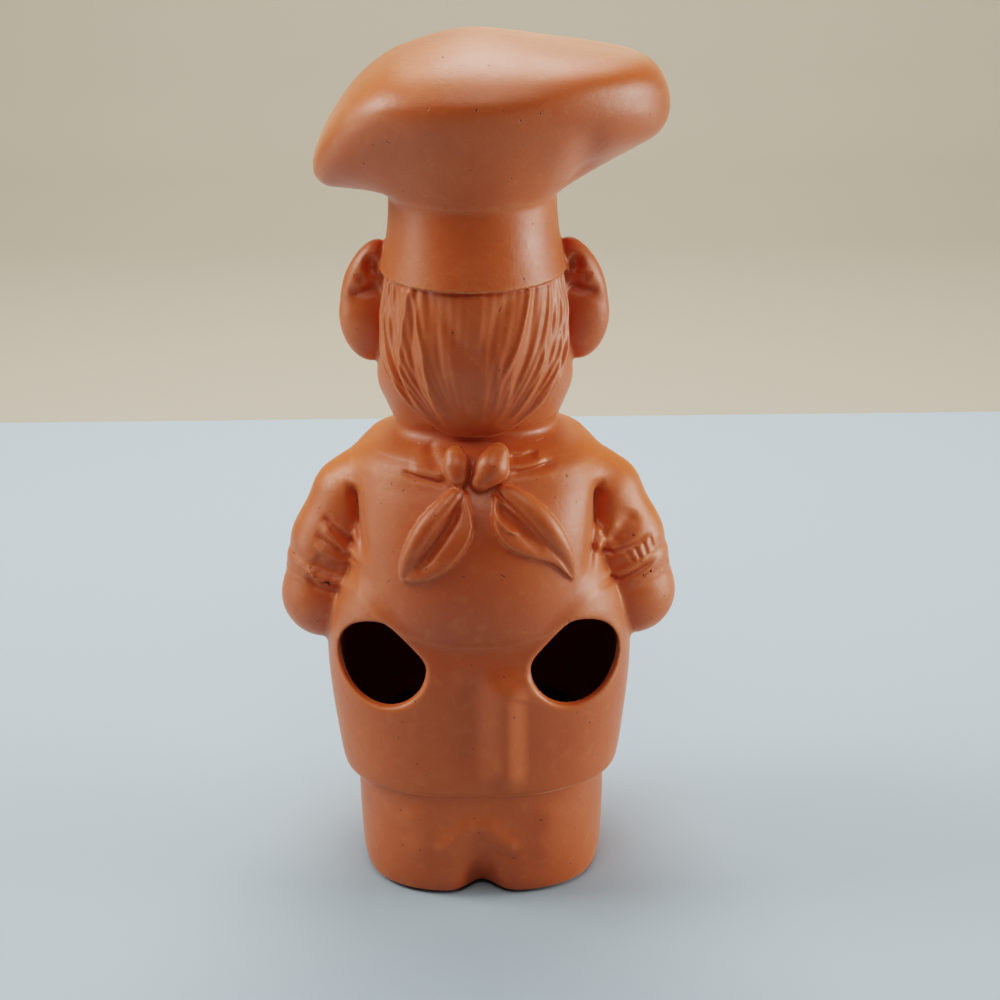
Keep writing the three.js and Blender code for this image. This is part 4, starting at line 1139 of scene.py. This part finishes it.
finish = clay_material()
with ThreadPoolExecutor(THREADS) as pool:
    shapes = list(pool.map(shape, FORMS))
for form, made in zip(FORMS, shapes):
    piece = build(form, *made)
    piece.data.materials.append(finish)
    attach(piece, "root")
    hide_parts(form.name)


# The floor and the sweep beyond it, as lines leading away from the camera: places (y, z) in metres
STAGE_HALF = 3
FLOOR_COLOUR = (0.41, 0.51, 0.59)
SWEEP_COLOUR = (0.43, 0.385, 0.31)
FLOOR_LINE = [(3, 0), (-0.42, 0)]
SWEEP_LINE = [(-0.42, 0), (-0.8, 0), (-0.93, 0.02), (-1.03, 0.08), (-1.08, 0.18), (-1.1, 0.3), (-1.1, 1.8)]


def add_sheet(name, line, colour):
    """A sheet as wide as the stage along a line of places."""
    corners = [(side * STAGE_HALF, y, z) for y, z in line for side in (-1, 1)]
    faces = [(2 * i, 2 * i + 1, 2 * i + 3, 2 * i + 2) for i in range(len(line) - 1)]
    mesh = bpy.data.meshes.new(name)
    mesh.from_pydata(corners, [], faces)
    mesh.polygons.foreach_set("use_smooth", [True] * len(faces))
    sheet = bpy.data.objects.new(name, mesh)
    bpy.context.collection.objects.link(sheet)
    mesh.materials.append(stage_material(name, colour))


add_sheet("floor", FLOOR_LINE, FLOOR_COLOUR)
add_sheet("backdrop", SWEEP_LINE, SWEEP_COLOUR)


# The colour of all the light, and the strength of what comes from all round
LIGHT_COLOUR = (1, 0.98, 0.93)
ROOM_STRENGTH = 0.06


def add_light(name, place, target, size, power):
    """A round soft light at a place, turned towards its target, in metres and watts."""
    light = bpy.data.lights.new(name, "AREA")
    light.shape = "DISK"
    light.size = size
    light.energy = power
    light.color = LIGHT_COLOUR
    lamp = bpy.data.objects.new(name, light)
    bpy.context.collection.objects.link(lamp)
    lamp.location = place
    aim = Vector(target) - Vector(place)
    lamp.rotation_euler = aim.to_track_quat("-Z", "Y").to_euler()


add_light("overhead", (0, -0.12, 1.3), (0, 0, 0.1), 0.7, 1.8)
add_light("wall_side", (0, -0.39, 0.8), (0, 0, 0.15), 0.5, 3.2)
add_light("camera_side", (0, 0.6, 1.2), (0, 0, 0.1), 0.7, 3.5)
add_light("backdrop_light", (0, -0.45, 0.95), (0, -1.1, 0.4), 1, 5)
add_light("left_high", (0.9, -0.05, 0.75), (0, 0, 0.12), 0.5, 6)
add_light("left_low", (1.1, 0.1, 0.1), (0, 0, 0.04), 0.5, 2.2)
add_light("right", (-1.1, 0, 0.35), (0, 0, 0.12), 0.7, 6.6)
add_light("right_low", (-1.1, 0.1, 0.1), (0, 0, 0.04), 0.5, 3)


def add_world():
    world = bpy.data.worlds.new("room")
    world.use_nodes = True
    background = world.node_tree.nodes["Background"]
    background.inputs["Color"].default_value = (*LIGHT_COLOUR, 1)
    background.inputs["Strength"].default_value = ROOM_STRENGTH
    bpy.context.scene.world = world


add_world()
view = bpy.context.scene.view_settings
view.view_transform = "Filmic"
view.look = "High Contrast"

# The camera's place in metres and its axes, as the photograph was taken
CAMERA = dict(
    place=(-0.006726, 0.551352, 0.321871), right=(-0.99994, 0.00401, -0.01061),
    up=(-0.01134, -0.35345, 0.93538), back=(0, 0.93544, 0.35347), lens=72, sensor=36)


def add_camera():
    camera = bpy.data.cameras.new("camera")
    camera.sensor_width = CAMERA["sensor"]
    camera.lens = CAMERA["lens"]
    viewer = bpy.data.objects.new("camera", camera)
    bpy.context.collection.objects.link(viewer)
    turn = Matrix((CAMERA["right"], CAMERA["up"], CAMERA["back"])).transposed()
    viewer.matrix_world = Matrix.Translation(CAMERA["place"]) @ turn.to_4x4()
    bpy.context.scene.camera = viewer


add_camera()
